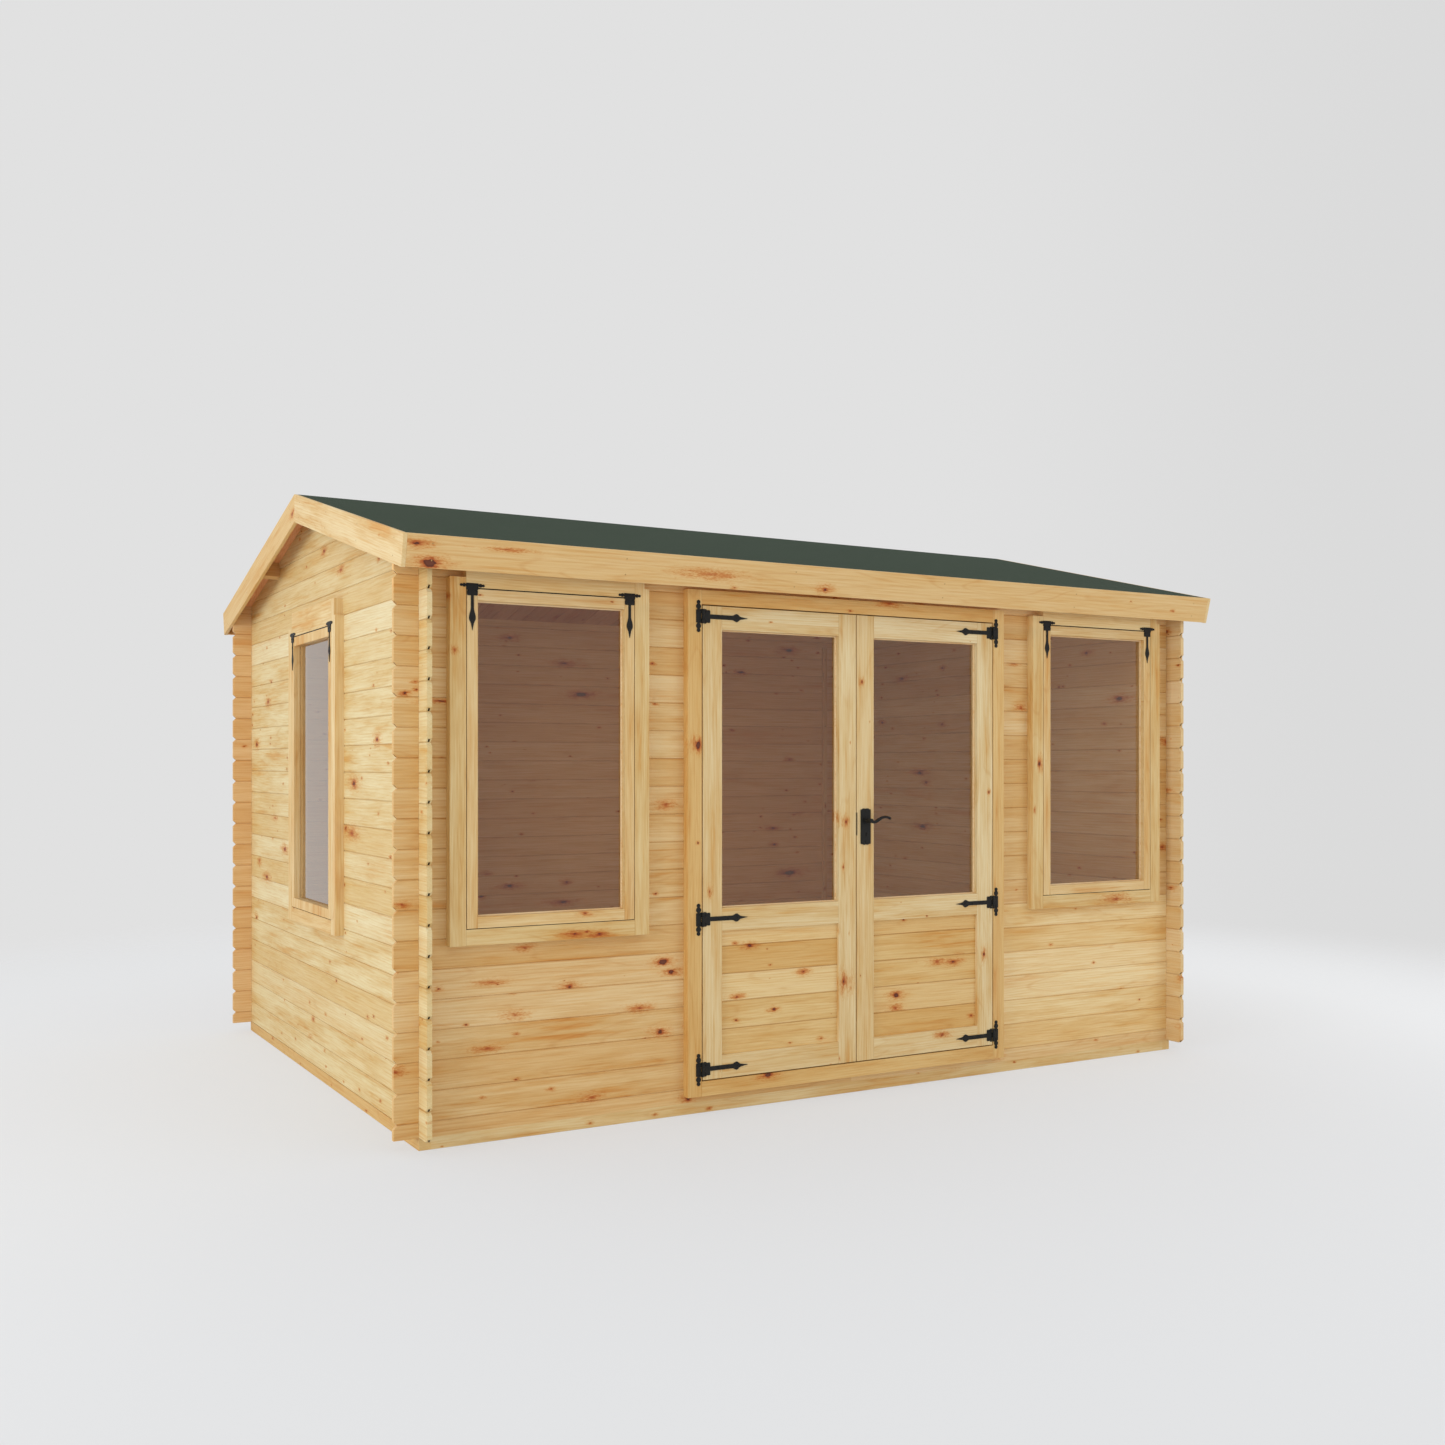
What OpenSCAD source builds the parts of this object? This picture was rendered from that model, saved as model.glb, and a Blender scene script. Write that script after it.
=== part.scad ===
// Log cabin with a low gable roof, a double door between two front windows and one gable window.
// The front faces -Y, +X is to its right and +Z is up. The origin is under the middle of the plan.

/* [Plan] */
// Width over the outer faces of the side walls
body_w = 3800; // [2800:10:5000]
// Depth over the outer faces of the front and back walls
body_d = 2785; // [2000:5:4000]

/* [Logs] */
// Thickness of a wall log
log_t = 19; // [16:1:30]
// Height that one course adds to a wall
log_cover = 110; // [100:1:125]
// Length of a log end past the wall that it crosses
log_run = 93; // [60:1:140]
// Corner cut at the top and bottom of each log end
end_cut = 15; // [5:1:25]
// Depth of the V groove where two courses meet
log_groove = 3; // [1:0.5:6]
// Clearance on each side of a crossing notch
lap_gap = 0.5; // [0.2:0.1:2]
// Width of the tongue on top of a log
tongue_w = 7; // [5:0.5:9]
// Height over the seam of the gap above the tongue, open at the log ends
tongue_gap_h = 12; // [8:0.5:14]
// Courses under the windows
sill_courses = 6; // [4:1:8]
// Courses cut by a window
window_courses = 12; // [8:1:13]

/* [Base and floor] */
// Height of the bearers
bearer_h = 46; // [40:1:100]
// Width of the bearers
bearer_w = 45; // [40:1:80]
// Number of joists between the end bearers
joist_n = 5; // [2:1:9]
// Thickness of the floor boards
floor_t = 19; // [15:1:28]
// Clearance between the floor and the walls
floor_gap = 2; // [1:0.5:6]

/* [Roof] */
// Height of the front wall over the holes for the windows and the door
wall_head_h = 145; // [130:1:250]
// Slope of the roof in degrees
roof_pitch = 13.9; // [10:0.1:18]
// Overhang of the eaves past the front and back walls
eaves_over = 164; // [120:1:300]
// Thickness of the roof boards
deck_t = 15; // [12:1:22]
// Thickness of the felt
felt_t = 3; // [2:0.5:5]
// Thickness of the barge and fascia boards
edge_t = 16; // [12:1:28]
// Depth of the bargeboards, square to the slope
barge_h = 120; // [100:1:160]
// Depth of the fascia boards, square to the slope
fascia_h = 118; // [100:1:160]
// Width of a purlin
purlin_w = 45; // [35:1:70]
// Depth of a side purlin, square to the slope
purlin_h = 70; // [50:1:100]
// Depth of the ridge purlin at its middle
ridge_purlin_h = 95; // [60:1:105]
// Distance along the slope from the ridge to the upper side of a side purlin
purlin_at = 780; // [500:1:1000]

/* [Frames] */
// Projection of the frames past the outer face of the wall
frame_out = 38; // [20:1:45]
// Projection of the frames past the inner face of the wall
frame_in = 12; // [8:1:30]
// Cover of the frames over the cut log ends
trim_lap = 27; // [15:1:40]
// Depth that a jamb takes out of the hole in the wall
jamb_in = 35.5; // [25:0.5:50]
// Depth that a sill takes out of the hole in the wall
sill_in = 32.5; // [25:0.5:50]
// Clearance between a frame and the cut log ends
frame_gap = 1; // [0.5:0.5:3]
// Width of the stops behind leaves and sashes
stop_w = 12; // [8:1:20]

/* [Windows] */
// Width of the front wall between its corner and the hole for a window
corner_w = 130.5; // [60:0.5:300]
// Width of the front wall between the holes for a window and the door
pier_w = 226.5; // [100:0.5:400]
// Width of the hole for the gable window
side_window_w = 757; // [400:1:900]
// Depth that a window head takes out of the hole in the wall
window_head_in = 38; // [30:1:60]
// Height of the board over a window
head_board_h = 110; // [60:1:110]
// Length of the board over a window past the opening at its right end
head_board_lap = 42; // [10:1:60]
// Clearance round a sash
sash_gap = 3; // [1:0.5:4]
// Width of a sash stile and rail
sash_w = 42; // [35:1:60]
// Thickness of a sash
sash_t = 40; // [30:1:44]

/* [Double door] */
// Width of the hole for the door
door_w = 1572; // [1200:2:1700]
// Depth that the door head takes out of the hole in the wall
door_head_in = 44.5; // [30:0.5:60]
// Height of the door head board over the hole in the wall
door_head_up = 13; // [5:1:27]
// Clearance round a leaf
leaf_gap = 5; // [5:0.5:8]
// Thickness of a leaf
leaf_t = 42; // [36:1:44]
// Width of a leaf stile
stile_w = 88; // [60:1:120]
// Height of a leaf rail
rail_h = 92; // [60:1:120]
// Height of the middle rail's lower edge over the foot of the leaf
mid_rail_at = 590.5; // [400:0.5:800]
// Cover width of the boards in the lower panel
board_cover = 111.5; // [80:0.5:140]
// Height of the top board of the lower panel that shows under the middle rail
top_board_h = 63.5; // [30:0.5:110]
// Thickness of the boards in the lower panel
board_t = 16; // [12:1:20]
// Depth of the V groove between the boards of the lower panel
board_groove = 2.5; // [1:0.5:5]
// Setback of the lower panel from the face of the leaf
board_set = 12; // [8:1:18]

/* [Glass] */
// Thickness of the glass
glass_t = 4; // [3:1:6]
// Setback of the glass from the face of a leaf or sash
glass_set = 26; // [18:1:30]
// Depth of the grooves that hold glass and panels
rebate = 8; // [5:1:12]
// Clearance at the bottom of those grooves
rebate_gap = 1; // [0.5:0.5:3]

/* [Ironmongery] */
// Thickness of hinge straps and plates
strap_t = 3; // [2:0.5:4]
// Radius of a door hinge knuckle
knuckle_r = 6; // [5:0.5:8]
// Height of the middle knuckle of a door hinge
knuckle_h = 20; // [14:1:30]
// Height of each outer knuckle of a door hinge
outer_knuckle_h = 18; // [8:1:20]
// Clearance between the knuckles of a hinge
knuckle_gap = 0.5; // [0.3:0.1:1]
// Clearance between a knuckle and the block beside it
knuckle_side = 1; // [1:0.1:2]
// Height of a door hinge plate over its finials
hinge_plate_h = 128; // [100:1:150]
// Width of a door hinge plate
hinge_plate_w = 22; // [14:1:30]
// Radius of the finials of a door hinge plate
finial_r = 11; // [6:0.5:12]
// Length of a door hinge strap from its pin
strap_len = 211; // [180:1:260]
// Height of the block of a door hinge strap
block_h = 58; // [40:1:60]
// Length of that block
block_len = 28; // [20:1:40]
// Height of the neck of a door hinge strap
neck_h = 18; // [12:1:24]
// Height of the spear at the end of a door hinge strap
spear_h = 33; // [26:1:40]
// Distance from the pin to the barbs of the spear
spear_at = 158; // [120:1:170]
// Length over which that strap widens to its barbs
spear_run = 21; // [10:1:40]
// Length over which it narrows behind them
spear_tail = 20; // [10:1:24]
// Distance from the foot and from the top of a leaf to its outer hinges
hinge_end_at = 43; // [42:1:120]
// Height of the middle hinge over the middle of the middle rail
hinge_mid_up = 4.5; // [0:0.5:15]
// Length of a window hinge strap from its plate
window_strap_len = 165; // [140:1:200]
// Width of the block of a window hinge strap
window_block_w = 47; // [30:1:60]
// Length of that block
window_block_len = 37; // [24:1:50]
// Width of the neck of a window hinge strap
window_neck_w = 11; // [8:1:18]
// Width of the spear at the end of a window hinge strap
window_spear_w = 26; // [20:1:34]
// Distance from the plate to the barbs of that spear
window_spear_at = 119; // [105:1:130]
// Length over which that strap widens to its barbs
window_spear_run = 38; // [20:1:50]
// Length over which it narrows behind them
window_spear_tail = 26; // [14:1:28]
// Length of a window hinge plate over its finials
window_plate_len = 95; // [70:1:110]
// Height of a window hinge plate
window_plate_w = 16; // [10:1:20]
// Radius of the finials of a window hinge plate
window_finial_r = 7; // [4:0.5:8]
// Height of a window hinge plate over the clear opening
window_hinge_up = 9; // [5:1:20]
// Distance from the side of a sash to the middle of a window hinge
window_hinge_at = 20; // [15:1:60]
// Width of the handle plate
handle_plate_w = 50; // [36:1:60]
// Height of the handle plate
handle_plate_h = 155; // [120:1:220]
// Thickness of the handle plate
handle_plate_t = 5; // [3:0.5:8]
// Depth of the scallops at both ends of the handle plate
scallop = 4; // [2:0.5:8]
// Height of the middle of the handle plate over the foot of the leaf
handle_at = 995; // [800:1:1200]
// Height of the spindle over the middle of the handle plate
spindle_up = 26; // [10:1:50]
// Distance of the keyhole under the middle of the handle plate
key_down = 29; // [20:1:50]
// Radius of the round part of the keyhole
key_r = 4; // [3:0.5:5]
// Height of the plate of the lock on the edge of the right leaf
lock_h = 97; // [60:1:140]
// Width of that plate
lock_w = 22; // [16:1:28]
// Thickness of that plate
lock_t = 2.5; // [2:0.5:4]
// Setback of that plate from the face of the leaf
lock_set = 2; // [1:0.5:8]
// Height of its middle over the middle of the handle plate
lock_up = 12; // [0:1:30]
// Radius of the boss of the lever
boss_r = 9; // [7:0.5:12]
// Radius of the rose round that boss
rose_r = 15; // [12:0.5:18]
// Thickness of that rose
rose_t = 4; // [2:0.5:6]
// Height of the lever's grip at its root
lever_h = 12; // [9:0.5:15]
// Height of the grip at its end
lever_end_h = 8.5; // [6:0.5:12]
// Thickness of the grip
lever_t = 11; // [8:0.5:14]
// Rise of the grip's wave
lever_wave = 15; // [8:1:20]
// Projection of the lever from the leaf
lever_out = 48; // [40:1:70]
// Length of the lever
lever_len = 100; // [80:1:130]

/* [Hidden] */
tiny = 0.01;
near = 1;
course_max = 40;
half_w = body_w / 2;
half_d = body_d / 2;
cosp = cos(roof_pitch);
sinp = sin(roof_pitch);
tanp = tan(roof_pitch);
roof_t = felt_t + deck_t;
front_end = half_w + log_run;
side_end = half_d + log_run;
deck_x = half_w + log_run;
roof_half_x = deck_x + edge_t;
roof_half_y = half_d + eaves_over;
slope_len = roof_half_y / cosp;
lap_band = log_cover / 4;
front_seam = bearer_h + log_cover / 2;
side_seam = bearer_h;
hole_courses = sill_courses + window_courses;
front_hole_z0 = front_seam + sill_courses * log_cover;
front_hole_z1 = front_seam + hole_courses * log_cover;
side_hole_z0 = side_seam + sill_courses * log_cover;
side_hole_z1 = side_seam + hole_courses * log_cover;
wall_top = front_hole_z1 + wall_head_h;
wall_top_in = wall_top + log_t * tanp;
ridge_h = wall_top + half_d * tanp + roof_t / cosp;
window_edge_out = half_w - corner_w;
window_edge_in = door_w / 2 + pier_w;
window_w = window_edge_out - window_edge_in;
window_x = (window_edge_out + window_edge_in) / 2;
door_clear_w = door_w - 2 * jamb_in;
door_z0 = front_seam + sill_in;
door_z1 = front_hole_z1 - door_head_in;
leaf_w = (door_clear_w - 3 * leaf_gap) / 2;
leaf_z0 = door_z0 + leaf_gap;
leaf_h = door_z1 - leaf_gap - leaf_z0;
leaf_x0 = leaf_gap / 2;
pin_x = leaf_x0 + leaf_w + leaf_gap / 2;
face_y = -half_d - frame_out;
pin_y = face_y - knuckle_r;
window_clear_h = window_courses * log_cover - sill_in - window_head_in;
pane_edge = sash_gap + sash_w;
pane_h = window_clear_h - 2 * pane_edge;
leaf_clear_w = leaf_w - 2 * stile_w;
panel_z0 = rail_h;
panel_h = mid_rail_at - rail_h;
glass_z0 = mid_rail_at + rail_h;
glass_h = leaf_h - rail_h - glass_z0;
hinge_root = knuckle_r + knuckle_side;
// Middle line of the lever's grip in parts of lever_len and lever_wave
lever_path = [[0, 0], [0.08, -0.32], [0.16, -0.42], [0.25, -0.28], [0.36, 0.14], [0.48, 0.56], [0.6, 0.88],
  [0.71, 1], [0.82, 0.95], [0.92, 0.74], [1, 0.44]];
hinge_z = [leaf_z0 + hinge_end_at, leaf_z0 + mid_rail_at + rail_h / 2 + hinge_mid_up,
  leaf_z0 + leaf_h - hinge_end_at];

// Height of the underside of the roof boards at a distance y from the ridge line
function roof_under(y) = wall_top + (half_d - abs(y)) * tanp;

// Point of the roof section: s down the slope, n square to it, side -1 at the front and 1 at the back
function slope_pt(side, s, n) = [side * (s * cosp + n * sinp), ridge_h - s * sinp + n * cosp];

// Seams of a wall between z0 and z1, both ends counted, for courses that start at seam0
function seams(seam0, z0, z1) =
  [for (i = [0 : course_max]) if (seam0 + i * log_cover > z0 - near && seam0 + i * log_cover < z1 + near)
    seam0 + i * log_cover];

// Vertices of one V cut of depth d and half height h at height z on a line x, kept between z0 and z1
function v_cut(x, d, h, z, z0, z1) = concat(
  z - h > z0 - near ? [[x, z - h]] : [],
  [[x + d, z]],
  z + h < z1 + near ? [[x, z + h]] : []);

function joined(lists) = [for (l = lists) for (p = l) p];
function turned(l) = [for (i = [len(l) - 1 : -1 : 0]) l[i]];

// One edge from z0 to z1 at x with V cuts of depth d at the seams
function v_edge(x, d, h, cuts, z0, z1) = concat(
  (len(cuts) == 0 || cuts[0] > z0 + near) ? [[x, z0]] : [],
  joined([for (z = cuts) v_cut(x, d, h, z, z0, z1)]),
  (len(cuts) == 0 || cuts[len(cuts) - 1] < z1 - near) ? [[x, z1]] : []);

// Cross section of a stack of logs: v across the wall from its outer face, z up.
// top_in is the height of the inner face where the roof bevels the top log.
module log_section(seam0, z0, z1, top_in) {
  cuts = seams(seam0, z0, z1);
  inner = v_edge(log_t, -log_groove, log_groove, cuts, z0, top_in);
  polygon(concat(v_edge(0, log_groove, log_groove, cuts, z0, z1), turned(inner)));
}

// Elevation of a stack of logs from u0 to u1, with cut log ends where it ends in a projection
module log_elevation(seam0, u0, u1, z0, z1, end0, end1) {
  cuts = seams(seam0, z0, z1);
  left = end0 ? v_edge(u0, end_cut, end_cut, cuts, z0, z1) : [[u0, z0], [u0, z1]];
  right = end1 ? v_edge(u1, -end_cut, end_cut, cuts, z0, z1) : [[u1, z0], [u1, z1]];
  polygon(concat(left, turned(right)));
}

// Notches through a stack at a crossing wall: every other half course belongs to that wall.
// phase 1 is for the front and back walls, phase -1 for the side walls.
module crossing_notches(u, phase) {
  for (i = [-1 : course_max]) {
    band = bearer_h + (phase > 0 ? lap_band : -lap_band) + i * log_cover;
    translate([u - lap_gap, band])
      square([log_t + 2 * lap_gap, 2 * lap_band]);
  }
}

// Gaps over the tongues of a stack from its end at u to the middle of the crossing wall
module tongue_gaps(seam0, u, z0, z1) {
  run = log_run + log_t / 2 + near;
  for (z = seams(seam0, z0, z1 - log_cover / 2)) {
    foot = z < z0 + near ? z - near : z + log_groove / 2;
    translate([u > 0 ? u + near - run : u - near, (log_t - tongue_w) / 2, foot])
      cube([run, tongue_w, z + tongue_gap_h - foot]);
  }
}

// Stack of logs standing on the X axis: outer face at v = 0, inner face at v = log_t
module log_stack(seam0, u0, u1, z0, z1, end0, end1, half, phase, top_in) {
  difference() {
    log_body(seam0, u0, u1, z0, z1, end0, end1, half, phase, top_in);
    if (end0) tongue_gaps(seam0, u0, z0, z1);
    if (end1) tongue_gaps(seam0, u1, z0, z1);
  }
}

module log_body(seam0, u0, u1, z0, z1, end0, end1, half, phase, top_in) {
  intersection() {
    translate([u0, 0, 0])
      rotate([90, 0, 90])
        linear_extrude(height = u1 - u0)
          log_section(seam0, z0, z1, top_in);
    translate([0, log_t, 0])
      rotate([90, 0, 0])
        linear_extrude(height = log_t)
          difference() {
            log_elevation(seam0, u0, u1, z0, max(z1, top_in), end0, end1);
            crossing_notches(-half, phase);
            crossing_notches(half - log_t, phase);
          }
  }
}

// Placing of the four walls
module at_front() {
  translate([0, -half_d, 0])
    children();
}

module at_back() {
  translate([0, half_d, 0])
    rotate([0, 0, 180])
      children();
}

module at_left() {
  translate([-half_w, 0, 0])
    rotate([0, 0, -90])
      children();
}

module at_right() {
  translate([half_w, 0, 0])
    rotate([0, 0, 90])
      children();
}

module front_stack(u0, u1, z0, z1, end0, end1) {
  at_front()
    log_stack(front_seam, u0, u1, z0, z1, end0, end1, half_w, 1, z1);
}

module side_stack(u0, u1, z0, z1, end0, end1) {
  log_stack(side_seam, u0, u1, z0, z1, end0, end1, half_d, -1, z1);
}

module front_sill_log() {
  color("burlywood")
    front_stack(-front_end, front_end, bearer_h, front_seam, true, true);
}

module front_wall_left_lower() {
  color("burlywood")
    front_stack(-front_end, -door_w / 2, front_seam, front_hole_z0, true, false);
}

module front_wall_left_corner() {
  color("burlywood")
    front_stack(-front_end, -window_edge_out, front_hole_z0, front_hole_z1, true, false);
}

module front_wall_left_pier() {
  color("burlywood")
    front_stack(-window_edge_in, -door_w / 2, front_hole_z0, front_hole_z1, false, false);
}

module front_wall_right_lower() {
  color("burlywood")
    front_stack(door_w / 2, front_end, front_seam, front_hole_z0, false, true);
}

module front_wall_right_corner() {
  color("burlywood")
    front_stack(window_edge_out, front_end, front_hole_z0, front_hole_z1, false, true);
}

module front_wall_right_pier() {
  color("burlywood")
    front_stack(door_w / 2, window_edge_in, front_hole_z0, front_hole_z1, false, false);
}

module front_wall_head() {
  color("burlywood")
    at_front()
      log_stack(front_seam, -front_end, front_end, front_hole_z1, wall_top, true, true, half_w, 1,
        wall_top_in);
}

module back_wall() {
  color("burlywood")
    at_back()
      log_stack(front_seam, -front_end, front_end, bearer_h, wall_top, true, true, half_w, 1,
        wall_top_in);
}

module left_wall_lower() {
  color("wheat")
    at_left()
      side_stack(-side_end, side_end, bearer_h, side_hole_z0, true, true);
}

module left_wall_front() {
  color("wheat")
    at_left()
      side_stack(side_window_w / 2, side_end, side_hole_z0, side_hole_z1, false, true);
}

module left_wall_back() {
  color("wheat")
    at_left()
      side_stack(-side_end, -side_window_w / 2, side_hole_z0, side_hole_z1, true, false);
}

module right_wall() {
  color("wheat")
    at_right()
      side_stack(-side_end, side_end, bearer_h, side_hole_z1, true, true);
}

// Triangle over a side wall, cut to the slopes and let in for the purlins
module gable() {
  top = roof_under(0);
  difference() {
    side_stack(-side_end, side_end, side_hole_z1, top, true, true);
    translate([0, log_t + tiny, 0])
      rotate([90, 0, 0])
        linear_extrude(height = log_t + 2 * tiny) {
          polygon([[0, top], [roof_half_y, roof_under(roof_half_y)], [roof_half_y, ridge_h],
            [-roof_half_y, ridge_h], [-roof_half_y, roof_under(roof_half_y)]]);
          purlin_sections(roof_t);
        }
  }
}

module left_gable() {
  color("wheat")
    at_left()
      gable();
}

module right_gable() {
  color("wheat")
    at_right()
      gable();
}

module side_bearers() {
  color("tan")
    for (side = [-1, 1])
      translate([side * (half_w - bearer_w / 2) - bearer_w / 2, -half_d, 0])
        cube([bearer_w, body_d, bearer_h]);
}

module cross_bearers() {
  color("tan")
    for (side = [-1, 1])
      translate([-half_w + bearer_w, side * (half_d - bearer_w / 2) - bearer_w / 2, 0])
        cube([body_w - 2 * bearer_w, bearer_w, bearer_h]);
}

module floor_joists() {
  pitch = (body_w - bearer_w) / (joist_n + 1);
  color("tan")
    for (i = [1 : joist_n])
      translate([-half_w + i * pitch, -half_d + bearer_w, 0])
        cube([bearer_w, body_d - 2 * bearer_w, bearer_h]);
}

module floor_boards() {
  edge = log_t + floor_gap;
  color("burlywood")
    translate([-half_w + edge, -half_d + edge, bearer_h])
      cube([body_w - 2 * edge, body_d - 2 * edge, floor_t]);
}

// Sections of the three purlins across the ridge, raised by extra over the underside of the boards
module purlin_sections(extra) {
  w = purlin_w / 2;
  foot = roof_under(0) - ridge_purlin_h;
  polygon([[-w, foot], [w, foot], [w, roof_under(w) + extra], [0, roof_under(0) + extra],
    [-w, roof_under(w) + extra]]);
  for (side = [-1, 1])
    polygon([slope_pt(side, purlin_at, extra - roof_t),
      slope_pt(side, purlin_at + purlin_w, extra - roof_t),
      slope_pt(side, purlin_at + purlin_w, -roof_t - purlin_h),
      slope_pt(side, purlin_at, -roof_t - purlin_h)]);
}

// Prism along X of a section drawn in Y and Z
module along_x(x0, x1) {
  translate([x0, 0, 0])
    rotate([90, 0, 90])
      linear_extrude(height = x1 - x0)
        children();
}

module purlins() {
  color("burlywood")
    along_x(-deck_x, deck_x)
      purlin_sections(0);
}

// Strip of a slope between depths n0 and n1, from a plumb cut at the ridge to s1
module slope_section(side, n0, n1, s1) {
  polygon([slope_pt(side, -n0 * tanp, n0), slope_pt(side, -n1 * tanp, n1), slope_pt(side, s1, n1),
    slope_pt(side, s1, n0)]);
}

module roof_boards(side) {
  along_x(-deck_x, deck_x)
    slope_section(side, -roof_t, -felt_t, slope_len - edge_t);
}

module roof_boards_front() {
  color("burlywood")
    roof_boards(-1);
}

module roof_boards_back() {
  color("burlywood")
    roof_boards(1);
}

module roof_felt() {
  color("darkslategray")
    along_x(-deck_x, deck_x) {
      slope_section(-1, -felt_t, 0, slope_len - edge_t);
      slope_section(1, -felt_t, 0, slope_len - edge_t);
    }
}

module bargeboard(x0, side) {
  along_x(x0, x0 + edge_t)
    slope_section(side, -barge_h, 0, slope_len);
}

module left_bargeboard_front() {
  color("wheat")
    bargeboard(-roof_half_x, -1);
}

module left_bargeboard_back() {
  color("wheat")
    bargeboard(-roof_half_x, 1);
}

module right_bargeboard_front() {
  color("wheat")
    bargeboard(deck_x, -1);
}

module right_bargeboard_back() {
  color("wheat")
    bargeboard(deck_x, 1);
}

module fascia(side) {
  s0 = slope_len - edge_t;
  along_x(-deck_x, deck_x)
    polygon([slope_pt(side, s0, 0), slope_pt(side, slope_len, 0),
      slope_pt(side, slope_len, -fascia_h), slope_pt(side, s0, -fascia_h)]);
}

module front_fascia() {
  color("burlywood")
    fascia(-1);
}

module back_fascia() {
  color("burlywood")
    fascia(1);
}

// Layer of a frame seen from outside: outer edges l, r, b, t round a clear opening w by h
module ring(w, h, l, r, b, t, y0, y1) {
  translate([0, y1, 0])
    rotate([90, 0, 0])
      linear_extrude(height = y1 - y0)
        difference() {
          translate([-w / 2 - l, -b])
            square([w + l + r, h + b + t]);
          translate([-w / 2, 0])
            square([w, h]);
        }
}

// Channel frame round a clear opening, its foot at z = 0 and the wall's outer face at y = 0
module channel_frame(w, h, head_in, head_up, stop_y) {
  side = jamb_in + trim_lap;
  foot = sill_in + trim_lap;
  ring(w, h, side, side, foot, head_in + head_up, -frame_out, 0);
  ring(w, h, jamb_in - frame_gap, jamb_in - frame_gap, sill_in - frame_gap, head_in - frame_gap, 0,
    log_t);
  ring(w, h, side, side, foot, head_in + head_up, log_t, log_t + frame_in);
  translate([0, 0, stop_w])
    ring(w - 2 * stop_w, h - 2 * stop_w, stop_w, stop_w, stop_w, stop_w, stop_y - frame_out,
      log_t + frame_in);
}

module door_frame() {
  color("tan")
    translate([0, -half_d, door_z0])
      channel_frame(door_clear_w, door_z1 - door_z0, door_head_in, door_head_up, leaf_t + leaf_gap);
}

// Frame with its head board for a window hole hole_w wide; the clear opening starts at z = 0
module window_frame(hole_w) {
  w = hole_w - 2 * jamb_in;
  h = window_clear_h;
  union() {
    channel_frame(w, h, window_head_in, 0, sash_t);
    translate([-w / 2, -frame_out, h])
      cube([w + head_board_lap, frame_out, head_board_h]);
  }
}

// Placing of the windows, children seen from outside with the foot of the clear opening at z = 0
module at_front_windows() {
  for (side = [-1, 1])
    translate([side * window_x, -half_d, front_hole_z0 + sill_in])
      children();
}

module at_side_window() {
  at_left()
    translate([0, 0, side_hole_z0 + sill_in])
      children();
}

module front_window_frames() {
  color("tan")
    at_front_windows()
      window_frame(window_w);
}

module side_window_frame() {
  color("wheat")
    at_side_window()
      window_frame(side_window_w);
}

function pane_w(hole_w) = hole_w - 2 * jamb_in - 2 * pane_edge;

// Sash with a groove for its glass, its foot sash_gap over the foot of the clear opening
module sash(hole_w) {
  w = pane_w(hole_w);
  translate([0, 0, pane_edge])
    difference() {
      ring(w, pane_h, sash_w, sash_w, sash_w, sash_w, -frame_out, sash_t - frame_out);
      pane_space(w, pane_h, rebate);
    }
}

// Space of a pane w by h that reaches lap past the clear opening on every side
module pane_space(w, h, lap) {
  translate([-w / 2 - lap, glass_set - frame_out, -lap])
    cube([w + 2 * lap, glass_t, h + 2 * lap]);
}

module window_sashes() {
  color("burlywood") {
    at_front_windows()
      sash(window_w);
    at_side_window()
      sash(side_window_w);
  }
}

module window_pane(hole_w) {
  translate([0, 0, pane_edge])
    pane_space(pane_w(hole_w), pane_h, rebate - rebate_gap);
}

module window_glass() {
  color("slategray") {
    at_front_windows()
      window_pane(window_w);
    at_side_window()
      window_pane(side_window_w);
  }
}

// Half height of a strap at part t of the way from height a to height b, level at both ends
function swell(a, b, t) = a / 2 + (b - a) / 2 * (1 - cos(180 * t)) / 2;

// Spear strap seen from outside, root at the origin, running towards +X: a stepped block, a neck, a
// swelling over run up to two barbs at spear_at, and past tail a point at len
module strap_shape(len, block_h, block_len, neck_h, spear_h, spear_at, run, tail) {
  h = block_h / 2;
  tip_h = spear_h / 3;
  top = concat([[0, h], [block_len * 0.3, h], [block_len * 0.4, h * 0.92], [block_len * 0.5, h * 0.8],
      [block_len * 0.58, h * 0.88], [block_len * 0.9, h * 0.88], [block_len, h * 0.78],
      [block_len, neck_h / 2]],
    [for (i = [0 : 5]) [spear_at - run * (1 - i / 5), swell(neck_h, spear_h, i / 5)]],
    [for (i = [1 : 5]) [spear_at + tail * i / 5, swell(spear_h, tip_h, i / 5)]]);
  polygon(concat(top, [[len, 0]], [for (i = [len(top) - 1 : -1 : 0]) [top[i][0], -top[i][1]]]));
}

// Plate with a ball and a smaller knob at each end, centred, h over the knobs
module plate_shape(w, h, ball_r) {
  knob_r = ball_r * 0.72;
  square([w, h - 6.9 * ball_r], center = true);
  for (end = [-1, 1]) {
    translate([0, end * (h / 2 - 2.3 * ball_r)])
      circle(r = ball_r, $fn = 24);
    translate([0, end * (h / 2 - knob_r)])
      circle(r = knob_r, $fn = 24);
  }
  square([ball_r, h - 2 * knob_r], center = true);
}

// Sheet of ironmongery on a face at y = 0, drawn from outside
module sheet(t) {
  rotate([90, 0, 0])
    linear_extrude(height = t)
      children();
}

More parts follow.
